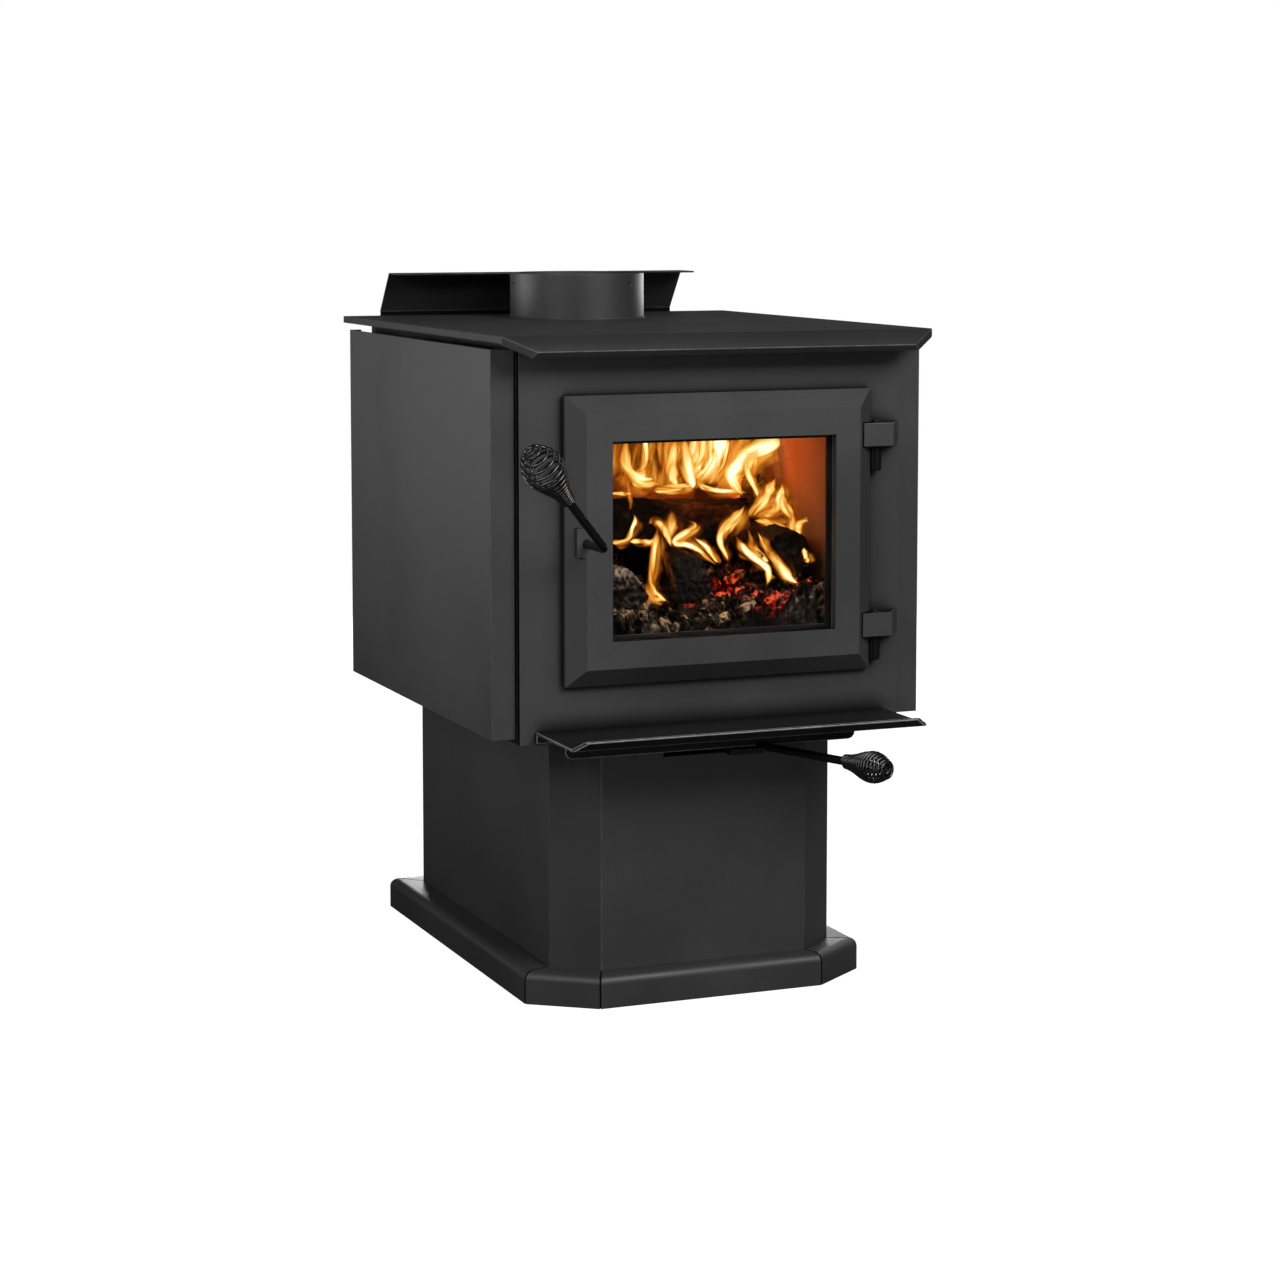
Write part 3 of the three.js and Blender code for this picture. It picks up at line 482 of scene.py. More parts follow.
def coil_path(start, axis, length, neck_share, pitches, radii, wire):
    """A wire that is wound tight at its neck, swells into an open bulb, and curls in at its end.
    pitches are the neck's and the bulb's; radii are the neck's, the bulge's and the end's."""
    steps = 26
    side, other = square_to(axis)
    neck, bulge, end = radii
    height, angle, path = wire, 0.0, []

    def reach(share):
        swell = abs(math.sin(math.pi * share ** 1.6)) ** 1.3
        return lerp(neck, end, share) + bulge * swell

    def put(radius):
        spoke = side * math.cos(angle) + other * math.sin(angle)
        path.append(start + axis * height + spoke * radius)

    while height < length - wire:
        share = height / length
        put(reach(share))
        open_share = smoothstep(neck_share * 0.7, neck_share * 1.5, share)
        height += lerp(*pitches, open_share) / steps
        angle += TURN / steps
    curl = int(steps * 1.15)
    for step in range(1, curl + 1):
        angle += TURN / steps
        put(lerp(end, end * 0.42, smoothstep(0.15, 1.0, step / curl)))
        height -= 0.12 * wire
    return path


def handle_coil(name, body, material, **shape):
    solid = bmesh.new()
    sweep(solid, coil_path(wire=HANDLE_WIRE, **shape), HANDLE_WIRE, 10)
    piece(name + "_wire", solid, material, body, [name])


def make_handles(coil_material, rod_material):
    """The two spring handles and the latch's bent rod."""
    bend = LATCH_PLACE + FORWARDS * LATCH_REACH
    handle_coil(
        "door_handle_coil", "latch", coil_material, start=bend + LATCH_AXIS * LATCH_ROD, axis=LATCH_AXIS,
        length=84 * MM, neck_share=0.3, pitches=(3.1 * MM, 7.2 * MM),
        radii=(6.4 * MM, 12.6 * MM, 9 * MM),
    )
    handle_coil(
        "air_handle_coil", "air_control", coil_material, start=AIR_ROD_END, axis=AIR_AXIS,
        length=66 * MM, neck_share=0.3, pitches=(3.1 * MM, 4.1 * MM),
        radii=(6.4 * MM, 8.3 * MM, 8 * MM),
    )

    # the latch's rod: out through the door, round a tight bend and up into its handle
    shaft_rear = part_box("latch_shaft")[1].y
    half = math.acos(FORWARDS.dot(LATCH_AXIS)) / 2
    tangent = LATCH_BEND_RADIUS * math.tan(half)
    centre_way = (LATCH_AXIS - FORWARDS).normalized()
    centre = bend + centre_way * (LATCH_BEND_RADIUS / math.cos(half))
    arc_start = bend - FORWARDS * tangent
    spoke = (arc_start - centre).normalized()
    path = [Vector((LATCH_PLACE.x, shaft_rear, LATCH_PLACE.z))]
    path.append(path[0] + FORWARDS * 2 * MM)
    steps = 14
    for step in range(steps + 1):
        angle = 2 * half * step / steps
        path.append(centre + (spoke * math.cos(angle) + FORWARDS * math.sin(angle)) * LATCH_BEND_RADIUS)
    for inside_coil in (10 * MM, 22 * MM):
        path.append(bend + LATCH_AXIS * (LATCH_ROD + inside_coil))
    tip = LATCH_ROD_RADIUS * 0.8
    radii = [tip] + [LATCH_ROD_RADIUS] * (len(path) - 2) + [tip]
    solid = bmesh.new()
    sweep(solid, path, radii, 20)
    piece("latch_rod", solid, rod_material, "latch", ["latch_shaft"])


# ---------------------------------------------------------------- rope seal
def make_rope_seal(material):
    """Three twisted strands laid round the channel in the back of the door."""
    low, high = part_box("door_rope_seal")
    rope = (high.y - low.y) / 2
    corner = 12 * MM
    y = (low.y + high.y) / 2
    x = (low.x + rope, high.x - rope)
    z = (low.z + rope, high.z - rope)
    loop = []
    corners = [(x[1], z[1], 0), (x[0], z[1], 1), (x[0], z[0], 2), (x[1], z[0], 3)]
    for corner_x, corner_z, quarter in corners:
        inward_x = -corner if corner_x == x[1] else corner
        inward_z = -corner if corner_z == z[1] else corner
        for step in range(5):
            angle = TURN / 4 * (quarter + step / 4)
            loop_x = corner_x + inward_x + corner * math.cos(angle)
            loop_z = corner_z + inward_z + corner * math.sin(angle)
            loop.append(Vector((loop_x, y, loop_z)))
    line = []
    spacing, lay = 2.6 * MM, 19 * MM
    for point, after in zip(loop, loop[1:] + loop[:1]):
        count = max(1, round((after - point).length / spacing))
        line += [point.lerp(after, step / count) for step in range(count)]
    twists = round(len(line) * spacing / lay)
    strand = rope * 0.53
    solid = bmesh.new()
    for index in range(3):
        path = []
        for step, point in enumerate(line):
            along = (line[(step + 1) % len(line)] - line[step - 1]).normalized()
            outward = along.cross(BACKWARDS)
            angle = TURN * (twists * step / len(line) + index / 3)
            offset = outward * math.cos(angle) + BACKWARDS * math.sin(angle)
            path.append(point + offset * (rope - strand))
        sweep(solid, path, strand, 8, closed_loop=True)
    piece("door_rope", solid, material, "door", ["door_rope_seal"])


# ---------------------------------------------------------------- fasteners
def screw_heads(name, places, axis, radius, material, body="stove_body"):
    """Low domed heads with a hexagon socket, standing on a face."""
    socket = radius * 0.45
    profile = [
        (radius * 0.96, -0.3 * radius), (radius, 0.05 * radius), (radius * 0.93, 0.25 * radius),
        (radius * 0.75, 0.42 * radius), (socket * 1.15, 0.52 * radius), (socket, 0.5 * radius),
        (socket * 0.98, 0.2 * radius),
    ]
    solid = bmesh.new()
    for place in places:
        turned(solid, place, axis, profile, 24, hexagon=(5, 6))
    piece(name, solid, material, body)


def make_fasteners(steel, black):
    """The screws at the back, in two columns each, and those of the ash lip and the glass."""
    inset = 11 * MM
    flange_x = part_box("rear_shield_bracket_right")[0].x + inset
    shield, panel, side_shield = (
        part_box(name)[1] for name in ("rear_shield", "pedestal_rear_panel", "side_shield_right")
    )
    columns = [
        ("rear_shield_screws", flange_x, shield.y, (0.38, 0.5, 0.62), 4.5 * MM),
        ("pedestal_panel_screws", panel.x - inset, panel.y, (0.05, 0.14, 0.24), 4 * MM),
        ("side_shield_screws", side_shield.x - 8 * MM, side_shield.y, (0.33, 0.5, 0.66), 3.6 * MM),
    ]
    for name, x, y, heights, radius in columns:
        places = [Vector((side * x, y, z)) for side in (-1, 1) for z in heights]
        screw_heads(name, places, BACKWARDS, radius, black)

    apron_low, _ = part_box("ash_lip_bracket")
    places = [Vector((x, apron_low.y, apron_low.z + 8 * MM)) for x in (-0.143, 0, 0.143)]
    screw_heads("ash_lip_bolts", places, FORWARDS, 4.6 * MM, black)

    ring_low, ring_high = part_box("glass_retainer")
    rim = 4.5 * MM
    columns = [ring_low.x + rim, (ring_low.x + ring_high.x) / 2, ring_high.x - rim]
    rows = [ring_low.z + rim, (ring_low.z + ring_high.z) / 2, ring_high.z - rim]
    places = [
        Vector((x, ring_high.y, z)) for x in columns for z in rows if (x, z) != (columns[1], rows[1])
    ]
    screw_heads("glass_retainer_screws", places, BACKWARDS, 2.6 * MM, steel, "door")


def make_welds(material):
    """Rippled weld bead where the flue collar stands on the top plate."""
    low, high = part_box("flue_collar")
    centre = (low + high) / 2
    radius = (high.x - low.x) / 2 + 0.4 * MM
    height, bead, ripples = TOP_Z + 0.5 * MM, 1.25 * MM, 90
    count = 4 * ripples
    path, radii = [], []
    for step in range(count):
        angle = TURN * step / count
        reach = radius + 0.12 * MM * math.sin(angle * 23)
        path.append(Vector((
            centre.x + reach * math.cos(angle), centre.y + reach * math.sin(angle), height,
        )))
        radii.append(bead * (1 + 0.13 * math.sin(angle * ripples)))
    solid = bmesh.new()
    sweep(solid, path, radii, 8, closed_loop=True)
    piece("flue_collar_weld", solid, material, "stove_body")


# ---------------------------------------------------------------- fire
def set_attribute(mesh, name, values):
    kind = "FLOAT_VECTOR" if isinstance(values[0], Vector) else "FLOAT"
    layer = mesh.attributes.new(name, kind, "POINT")
    if kind == "FLOAT":
        layer.data.foreach_set("value", values)
    else:
        layer.data.foreach_set("vector", [number for vector in values for number in vector])


def split_log(name, material, start, end, radius, seed, ash, glow, jag=6 * MM):
    """A split log with a flattish cleft side, char cracks and ragged ends."""
    axis = end - start
    length = axis.length
    axis.normalize()
    side, other = square_to(axis)
    around, steps, cap = 88, 110, 9
    offset = Vector((seed * 17.3, seed * 5.1, seed * 9.7))
    verts, crack_values, ash_values, glow_values = [], [], [], []
    rows = []

    def put(along, angle, share):
        """share is 1 on the bark and falls to 0 at the middle of an end."""
        wedge = 1 - 0.2 * max(0.0, math.cos(angle - seed)) ** 3
        wedge -= 0.14 * max(0.0, math.cos(angle - seed - 2.2)) ** 4
        bow = noise.noise(offset + Vector((along * 9, 0, 0))) * 5 * MM
        lumps = noise.noise(offset + Vector((along * 16, math.cos(angle) * 1.3, math.sin(angle) * 1.3)))
        ridges = noise.noise(offset + Vector((along * 26, angle * 3.2, 4)))
        ring_place = Vector((math.cos(angle), math.sin(angle), 0)) * radius / MM / 11
        cell_place = offset + ring_place * share + Vector((0, 0, along / MM / 17))
        near, far = noise.voronoi(cell_place)[0][:2]
        gap = 1 - smoothstep(0.0, 0.24, far - near)
        reach = radius * wedge * (1 + 0.13 * lumps + 0.06 * ridges) - gap * 1.6 * MM
        ragged = noise.noise(offset + ring_place * share * 2.4 + Vector((9, 9, 9))) * jag
        from_middle = abs(along / length - 0.5)
        outwards = 1 if along > length / 2 else -1
        lengthways = along + ragged * outwards * smoothstep(0.3, 0.5, from_middle)
        if share < 1:
            lengthways -= gap * 0.8 * MM * outwards
        spoke = side * math.cos(angle) + other * math.sin(angle)
        point = start + axis * lengthways + spoke * reach * share + UP * bow
        verts.append(point)
        crack_values.append(gap)
        ash_values.append(ash * (1 - gap) * (0.35 + 0.65 * max(0.0, spoke.z)))
        end_glow = smoothstep(0.36, 0.5, from_middle)
        glow_values.append(glow * (0.35 + 0.65 * max(max(0.0, -spoke.z), end_glow)))

    def put_row(along, share):
        rows.append(range(len(verts), len(verts) + around))
        for k in range(around):
            put(along, TURN * k / around, share)

    for ring in range(cap, 0, -1):
        put_row(0.0, 1 - ring / (cap + 1))
    for step in range(steps + 1):
        put_row(length * step / steps, 1)
    for ring in range(1, cap + 1):
        put_row(length, 1 - ring / (cap + 1))
    faces = [
        (row[k], row[(k + 1) % around], after[(k + 1) % around], after[k])
        for row, after in zip(rows, rows[1:]) for k in range(around)
    ]
    faces.append(tuple(rows[0])[::-1])
    faces.append(tuple(rows[-1]))
    mesh = bpy.data.meshes.new(name)
    mesh.from_pydata(verts, [], faces)
    set_attribute(mesh, "crack", crack_values)
    set_attribute(mesh, "ash", ash_values)
    set_attribute(mesh, "glow", glow_values)
    piece(name, mesh, material, "stove_body")


def make_logs(material):
    """Four logs, each between two points of (share across the window, share up it, depth)."""
    logs = [  # name, near end, far end, radius, seed, ash, glow
        ("log_back", (-0.22, 0.60, 0.265), (0.585, 0.565, 0.285), 33 * MM, 1, 0.1, 0.03),
        ("log_right", (0.765, 0.405, 0.12), (0.57, 0.50, 0.31), 30 * MM, 2, 0.08, 0.12),
        ("log_front", (0.325, 0.285, 0.12), (0.12, 0.44, 0.35), 28 * MM, 3, 0.05, 0.0),
        ("log_left", (0.03, 0.235, 0.11), (-0.2, 0.33, 0.38), 32 * MM, 5, 1.0, 0.0),
    ]
    for name, near, far, *looks in logs:
        split_log(name, material, through_window(*near), through_window(*far), *looks)


EMBER_SPOTS = [  # share across the window, share up it, radius, heat
    (0.50, 0.28, 26 * MM, 1.0), (0.56, 0.235, 22 * MM, 1.1), (0.62, 0.20, 18 * MM, 1.1),
    (0.70, 0.175, 15 * MM, 1.0), (0.77, 0.20, 17 * MM, 1.15), (0.86, 0.25, 17 * MM, 1.1),
    (0.92, 0.28, 20 * MM, 1.3), (0.35, 0.17, 20 * MM, 0.8), (0.20, 0.18, 20 * MM, 0.75),
    (0.10, 0.30, 16 * MM, 0.4),
]
BED_DEPTH = 66 * MM  # of the embers at the front
BED_RISE_BACK, BED_RISE_LEFT, BED_RISE_RIGHT = 32 * MM, 16 * MM, 32 * MM
BED_WAVES, BED_ROUNDING = 9 * MM, 10 * MM
BED_LUMPS = ((55, 13 * MM), (140, 6 * MM))  # scale and height
LUMP_TOPS = 11 * MM  # above the bed's own height
LOOSE_COALS = 620
LOOSE_COAL_SIZES = (2.5, 8.0)  # mm


def bed_spot(across, up):
    """Where the line of sight through that share of the window meets the ember bed."""
    depth = 0.02
    point = through_window(across, up, depth)
    while point.z > HEARTH_Z + bed_height(point.x, point.y) + 14 * MM and depth < 0.45:
        depth += 4 * MM
        point = through_window(across, up, depth)
    return point


def ember_heat(point, spots):
    def share(place, reach):
        away = point - place
        away.z *= 0.4
        return 1 - smoothstep(0.3, 1.0, away.length / reach)

    return max(heat * share(place, reach) for place, reach, heat in spots)


def bed_height(x, y):
    """The ember bed's own height above the hearth, before its lumps."""
    back = smoothstep(*HEARTH_Y, y)
    left = 1 - smoothstep(HEARTH_X[0], HEARTH_X[0] + 0.15, x)
    edge = min(x - HEARTH_X[0], HEARTH_X[1] - x)
    right = smoothstep(0.0, HEARTH_X[1] - 0.02, x)
    rise = BED_DEPTH + BED_RISE_BACK * back + BED_RISE_LEFT * left * (1 - back)
    rise += BED_RISE_RIGHT * right * (1 - 0.6 * back)
    rise += BED_WAVES * noise.noise(Vector((x * 9, y * 9, 2)))
    return rise - BED_ROUNDING * (1 - smoothstep(0, 0.03, edge))


def make_ember_bed(material, spots):
    """A heap of broken coals as one closed lumpy body."""
    margin = 1.5 * MM
    x_range = (HEARTH_X[0] + margin, HEARTH_X[1] - margin)
    y_range = (HEARTH_Y[0] + 3 * MM, HEARTH_Y[1] - margin)
    columns, lines = 150, 180
    verts, tones, glows = [], [], []
    for line in range(lines + 1):
        for column in range(columns + 1):
            x = lerp(*x_range, column / columns)
            y = lerp(*y_range, line / lines)
            height = bed_height(x, y)
            tone = 0.3
            for scale, rise in BED_LUMPS:
                place = Vector((x * scale, y * scale, scale))
                (near, far, *_), (cell, *_) = noise.voronoi(place)
                height += rise * (0.9 * noise.cell(cell * 3.7) + 0.5 * smoothstep(0, 0.5, far - near))
                tone += 0.3 * noise.cell(cell * 5.3)
            point = Vector((x, y, HEARTH_Z + height))
            verts.append(point)
            tones.append(tone)
            glows.append(ember_heat(point, spots))
    width = columns + 1
    corners = (0, 1, width + 1, width)
    faces = [
        tuple(line * width + column + corner for corner in corners)
        for line in range(lines) for column in range(columns)
    ]
    # down from the rim to a flat underside
    rim = list(range(columns))
    rim += [line * width + columns for line in range(lines)]
    rim += [lines * width + column for column in range(columns, 0, -1)]
    rim += [line * width for line in range(lines, 0, -1)]
    first = len(verts)
    for index in rim:
        verts.append(Vector((verts[index].x, verts[index].y, HEARTH_Z + 0.5 * MM)))
        tones.append(0.2)
        glows.append(0.0)
    count = len(rim)
    for k in range(count):
        beside = (k + 1) % count
        faces.append((first + k, first + beside, rim[beside], rim[k]))
    faces.append(tuple(range(first, first + count))[::-1])
    mesh = bpy.data.meshes.new("ember_bed")
    mesh.from_pydata(verts, [], faces)
    set_attribute(mesh, "tone", tones)
    set_attribute(mesh, "glow", glows)
    piece("ember_bed", mesh, material, "stove_body")


def make_loose_coals(material, spots):
    """Broken pieces lying on the ember bed."""
    draw = random.Random(7)
    solid = bmesh.new()
    tone_layer = solid.verts.layers.float.new("tone")
    glow_layer = solid.verts.layers.float.new("glow")
    for _ in range(LOOSE_COALS):
        x = draw.uniform(HEARTH_X[0] + 0.012, HEARTH_X[1] - 0.012)
        y = lerp(HEARTH_Y[0] + 0.013, HEARTH_Y[1] - 0.02, draw.random() ** 1.7)
        size = draw.uniform(*LOOSE_COAL_SIZES) * MM
        place = Vector((x, y, HEARTH_Z + bed_height(x, y) + LUMP_TOPS + 0.2 * size))
        made = bmesh.ops.create_icosphere(solid, subdivisions=2, radius=size)["verts"]
        turn = Euler([draw.uniform(0, TURN) for _ in range(3)]).to_matrix()
        stretch = Vector((draw.uniform(0.8, 1.5), draw.uniform(0.7, 1.0), draw.uniform(0.45, 0.8)))
        seed = Vector((draw.uniform(0, 99), 0, 0))
        tone = draw.choice((0.1, 0.2, 0.35, 0.45, 0.5, 0.6, 0.95))
        heat = ember_heat(place, spots)
        for vert in made:
            bumps = 1 + 0.8 * noise.noise(seed + vert.co / size * 1.9)
            local = Vector([a * b for a, b in zip(vert.co * bumps, stretch)])
            vert.co = place + turn @ local
            vert[tone_layer] = tone
            vert[glow_layer] = heat
    piece("loose_coals", solid, material, "stove_body", smooth=False)


FLAME_SPREAD = 1.05  # widens every tongue, whose sides fade out
FLAME_HEAT = 0.76
FLAME_THICKNESS = 0.3  # of its width
FLAME_STEPS, FLAME_SIDES = 34, 18
WISP_WIDTH, WISP_HEAT = 2.3, 0.36  # as shares of its tongue's


def along_curve(points, place):
    """The values on a smooth curve through all points, at a place from 0 to 1 along it."""
    place *= len(points) - 1
    index = min(int(place), len(points) - 2)
    share = place - index
    four = [points[max(0, min(len(points) - 1, index + k))] for k in (-1, 0, 1, 2)]
    return [
        0.5 * (2 * b + (c - a) * share + (2 * a - 5 * b + 4 * c - d) * share ** 2
               + (3 * b - a - 3 * c + d) * share ** 3)
        for a, b, c, d in zip(*four)
    ]


def flame_tongue(heats, flows, depth, points, seed):
    """The middle line and half widths of one tongue. Its surface's heat and flow go into their lists."""
    rings = []
    for step in range(FLAME_STEPS + 1):
        along = step / FLAME_STEPS
        across, up, half_width, heat = along_curve(points, along)
        flicker = noise.noise(Vector((along * len(points) * 1.1, seed * 3.7, 1)))
        sway = noise.noise(Vector((along * len(points) * 0.8, seed * 5.9, 8)))
        tip = smoothstep(0, 0.16, along) * smoothstep(0, 0.28, 1 - along)
        width = FLAME_SPREAD * max(half_width, 0.4) * (1 + 0.7 * flicker) * (0.06 + 0.94 * tip)
        rings.append((through_window(across + 0.012 * sway, up, depth), width * MM))
        for k in range(FLAME_SIDES):
            spread = math.cos(TURN * k / FLAME_SIDES)
            heats.append(FLAME_HEAT * max(0.0, heat) * tip ** 0.5 * (1 - spread * spread))
            flows.append(Vector((spread * width / 9, along * len(points) * 0.5, seed * 7.7)))
    return rings


def fire(name, material, tongues):
    """Tongues of fire in one mesh, each with a wide dim wisp behind it. They are closed lenses,
    wide across the line of sight and thin along it."""
    solid = bmesh.new()
    heats, flows = [], []
    wisps = [
        (depth + 0.012, *[
            (across + 0.012, up - 0.008, WISP_WIDTH * half_width, WISP_HEAT * heat)
            for across, up, half_width, heat in points
        ])
        for depth, *points in tongues
    ]
    for seed, (depth, *points) in enumerate(tongues + wisps):
        rings = flame_tongue(heats, flows, depth, points, seed + len(name))
        sheets = []
        for index, (centre, half_width) in enumerate(rings):
            before, after = rings[max(index - 1, 0)], rings[min(index + 1, len(rings) - 1)]
            along = (after[0] - before[0]).normalized()
            sight = (centre - CAMERA_PLACE).normalized()
            across = along.cross(sight).normalized()
            inwards = across.cross(along).normalized()
            sheets.append([
                centre + across * math.cos(TURN * k / FLAME_SIDES) * half_width
                + inwards * math.sin(TURN * k / FLAME_SIDES) * half_width * FLAME_THICKNESS
                for k in range(FLAME_SIDES)
            ])
        loft(solid, sheets)
    mesh = bpy.data.meshes.new(name)
    bmesh.ops.recalc_face_normals(solid, faces=solid.faces)
    solid.to_mesh(mesh)
    solid.free()
    set_attribute(mesh, "burn", heats)
    set_attribute(mesh, "flow", flows)
    piece(name, mesh, material, "stove_body")


def make_flames(material):
    """Each tongue is its depth behind the door's front, and then points from its root to its tip:
    (share across the window, share up it, half width in mm, heat)."""
    fire("flames_above", material, [
        (0.30, (0.02, 0.78, 14, 0.3), (0.06, 0.88, 22, 0.45), (0.07, 1.05, 26, 0.4)),
        (0.28, (0.20, 0.79, 6, 1.2), (0.12, 0.80, 9, 1.3), (0.055, 0.88, 8, 0.9), (0.06, 1.06, 8, 0.6)),
        (0.29, (0.12, 0.82, 8, 0.9), (0.14, 0.90, 5, 1.1), (0.145, 1.06, 5, 1.2)),
        (0.31, (0.20, 0.76, 16, 0.5), (0.21, 0.88, 26, 0.5), (0.22, 1.05, 30, 0.55)),
        (0.28, (0.28, 0.76, 5, 1.2), (0.255, 0.86, 7, 1.2), (0.29, 1.04, 9, 1.2)),
        (0.27, (0.35, 0.75, 6, 1.3), (0.325, 0.86, 8, 1.1), (0.30, 1.04, 7, 1.0)),
        (0.29, (0.36, 0.80, 14, 0.9), (0.42, 0.90, 28, 1.8), (0.44, 1.05, 32, 1.9)),
        (0.27, (0.17, 0.755, 5, 0.9), (0.28, 0.755, 7, 1.2), (0.37, 0.765, 5, 1.0)),
        (0.265, (0.38, 0.775, 3, 1.0), (0.43, 0.745, 4, 1.3), (0.52, 0.73, 3, 1.1), (0.60, 0.72, 3, 0.7)),
        (0.25, (0.58, 0.70, 4, 1.0), (0.53, 0.80, 10, 1.4), (0.57, 0.88, 13, 1.3), (0.68, 0.95, 13, 1.3),
         (0.83, 1.03, 8, 1.1)),
        (0.24, (0.64, 0.69, 3, 1.1), (0.615, 0.77, 4, 1.2), (0.60, 0.87, 7, 1.2), (0.66, 0.96, 7, 0.9)),
        (0.30, (0.52, 0.82, 12, 0.6), (0.55, 0.93, 20, 0.5), (0.60, 1.04, 24, 0.5)),
    ])
    fire("flames_between", material, [
        (0.15, (-0.01, 0.50, 2.5, 1.2), (0.06, 0.51, 3, 1.2), (0.09, 0.58, 3, 1.0),
         (0.095, 0.64, 2, 0.6)),
        (0.14, (0.07, 0.50, 2.5, 1.2), (0.12, 0.50, 3, 1.1), (0.17, 0.49, 3, 1.0), (0.20, 0.53, 2, 0.6)),
        (0.13, (0.255, 0.46, 2.5, 1.0), (0.225, 0.55, 4, 1.2), (0.185, 0.60, 4, 1.2),
         (0.155, 0.58, 3, 0.9)),
        (0.14, (0.235, 0.50, 5, 0.5), (0.25, 0.57, 8, 0.7), (0.25, 0.66, 6, 0.4)),
        (0.12, (0.24, 0.19, 4, 1.5), (0.175, 0.24, 5, 1.5), (0.165, 0.35, 4, 1.1),
         (0.185, 0.50, 4.5, 1.0), (0.20, 0.58, 3, 0.6)),
        (0.12, (0.28, 0.22, 2, 0.3), (0.24, 0.36, 5, 0.35), (0.21, 0.47, 5, 0.5)),
        (0.13, (0.46, 0.36, 2.5, 1.1), (0.40, 0.42, 3, 1.2), (0.33, 0.47, 4, 1.3), (0.27, 0.49, 4, 1.1),
         (0.33, 0.54, 4.5, 1.3), (0.365, 0.57, 4, 1.2), (0.30, 0.605, 3, 0.8)),
        (0.12, (0.465, 0.37, 2, 1.0), (0.42, 0.44, 3, 1.1), (0.355, 0.51, 3, 1.0)),
        (0.13, (0.51, 0.37, 2.5, 0.9), (0.475, 0.46, 4, 1.2), (0.49, 0.54, 6, 1.2),
         (0.545, 0.60, 6.5, 1.3), (0.585, 0.67, 4, 0.9)),
        (0.12, (0.68, 0.24, 2.5, 0.9), (0.69, 0.32, 4, 1.2), (0.64, 0.38, 5, 1.3), (0.57, 0.44, 6, 1.4),
         (0.54, 0.51, 4, 1.2)),
        (0.125, (0.685, 0.26, 2.5, 1.0), (0.675, 0.37, 4, 0.9), (0.62, 0.45, 5, 0.7),
         (0.595, 0.55, 2.5, 0.5)),
        (0.11, (0.825, 0.245, 5, 1.5), (0.77, 0.29, 7, 1.1), (0.72, 0.38, 5, 0.9), (0.66, 0.47, 3.5, 1.1),
         (0.64, 0.53, 2.5, 0.7)),
        (0.2, (-0.01, 0.745, 2, 0.9), (0.05, 0.74, 2.5, 0.8), (0.08, 0.74, 2, 0.6)),
        (0.2, (0.075, 0.65, 2, 0.3), (0.075, 0.74, 3.5, 0.6), (0.07, 0.84, 3, 0.4)),
        (0.105, (0.875, 0.35, 2.5, 1.5), (0.86, 0.39, 3, 1.2), (0.85, 0.43, 2, 0.8)),
    ])
    fire("flames_right", material, [
        (0.22, (0.62, 0.60, 10, 0.4), (0.70, 0.64, 24, 0.55), (0.76, 0.70, 22, 0.5),
         (0.73, 0.79, 6, 0.4)),
        (0.20, (0.60, 0.59, 4, 0.9), (0.65, 0.66, 7, 1.0), (0.69, 0.73, 7, 1.0), (0.725, 0.80, 3, 0.6)),
        (0.20, (0.66, 0.60, 4, 0.7), (0.72, 0.63, 7, 1.0), (0.74, 0.69, 6, 0.9), (0.755, 0.77, 3, 0.5)),
        (0.18, (0.80, 0.50, 3, 0.8), (0.79, 0.58, 6, 0.9), (0.76, 0.66, 5, 0.9), (0.745, 0.73, 3, 0.5)),
        (0.19, (0.62, 0.58, 3, 0.8), (0.70, 0.56, 5, 0.9), (0.78, 0.52, 5, 0.8), (0.82, 0.50, 3, 0.6)),
        (0.17, (0.83, 0.48, 4, 0.7), (0.82, 0.54, 6, 0.8), (0.86, 0.57, 3.5, 0.9), (0.92, 0.58, 2, 0.6)),
        (0.21, (0.78, 0.56, 8, 0.3), (0.82, 0.60, 10, 0.4), (0.80, 0.67, 6, 0.3)),
    ])


def make_fire_light():
    """The glow of the fire on the bricks round it: lamps that are not seen themselves."""
    deep_orange = (1.0, 0.16, 0.015)
    lamps = [
        ("glow_right", (0.06, -0.03, 0.575), (0.18, -0.03, 0.54), 0.5, deep_orange),
        ("glow_back", through_window(0.60, 0.80, 0.36), (0.14, 0.21, 0.56), 0.4, deep_orange),
        ("glow_left", through_window(0.2, 0.92, 0.33), (-0.1, 0.21, 0.58), 0.12, (1.0, 0.30, 0.06)),
        ("glow_low", through_window(0.40, 0.72, 0.05), (0.02, -0.12, 0.4), 0.14, (1.0, 0.6, 0.36)),
    ]
    size = (0.07, 0.07)
    for name, place, target, power, colour in lamps:
        lamp = softbox(name, place, target, size, power)
        lamp.data.color = colour
        lamp.visible_glossy = lamp.visible_transmission = False


# ---------------------------------------------------------------- studio
WORLD_LIGHT = 0.085  # on the stove; the camera sees plain white
FLOOR_LIGHT = 0.985  # as the camera sees it
FLOOR_HALF = 7


def softbox(name, place, target, size, power, spread=180):
    data = bpy.data.lights.new(name, "AREA")
    data.shape = "RECTANGLE"
    data.size, data.size_y = size
    data.energy = power
    data.spread = math.radians(spread)
    lamp = bpy.data.objects.new(name, data)
    lamp.location = place
    aim = Vector(target) - Vector(place)
    lamp.rotation_euler = aim.to_track_quat("-Z", "Y").to_euler()
    lamp.visible_camera = False
    bpy.context.collection.objects.link(lamp)
    return lamp


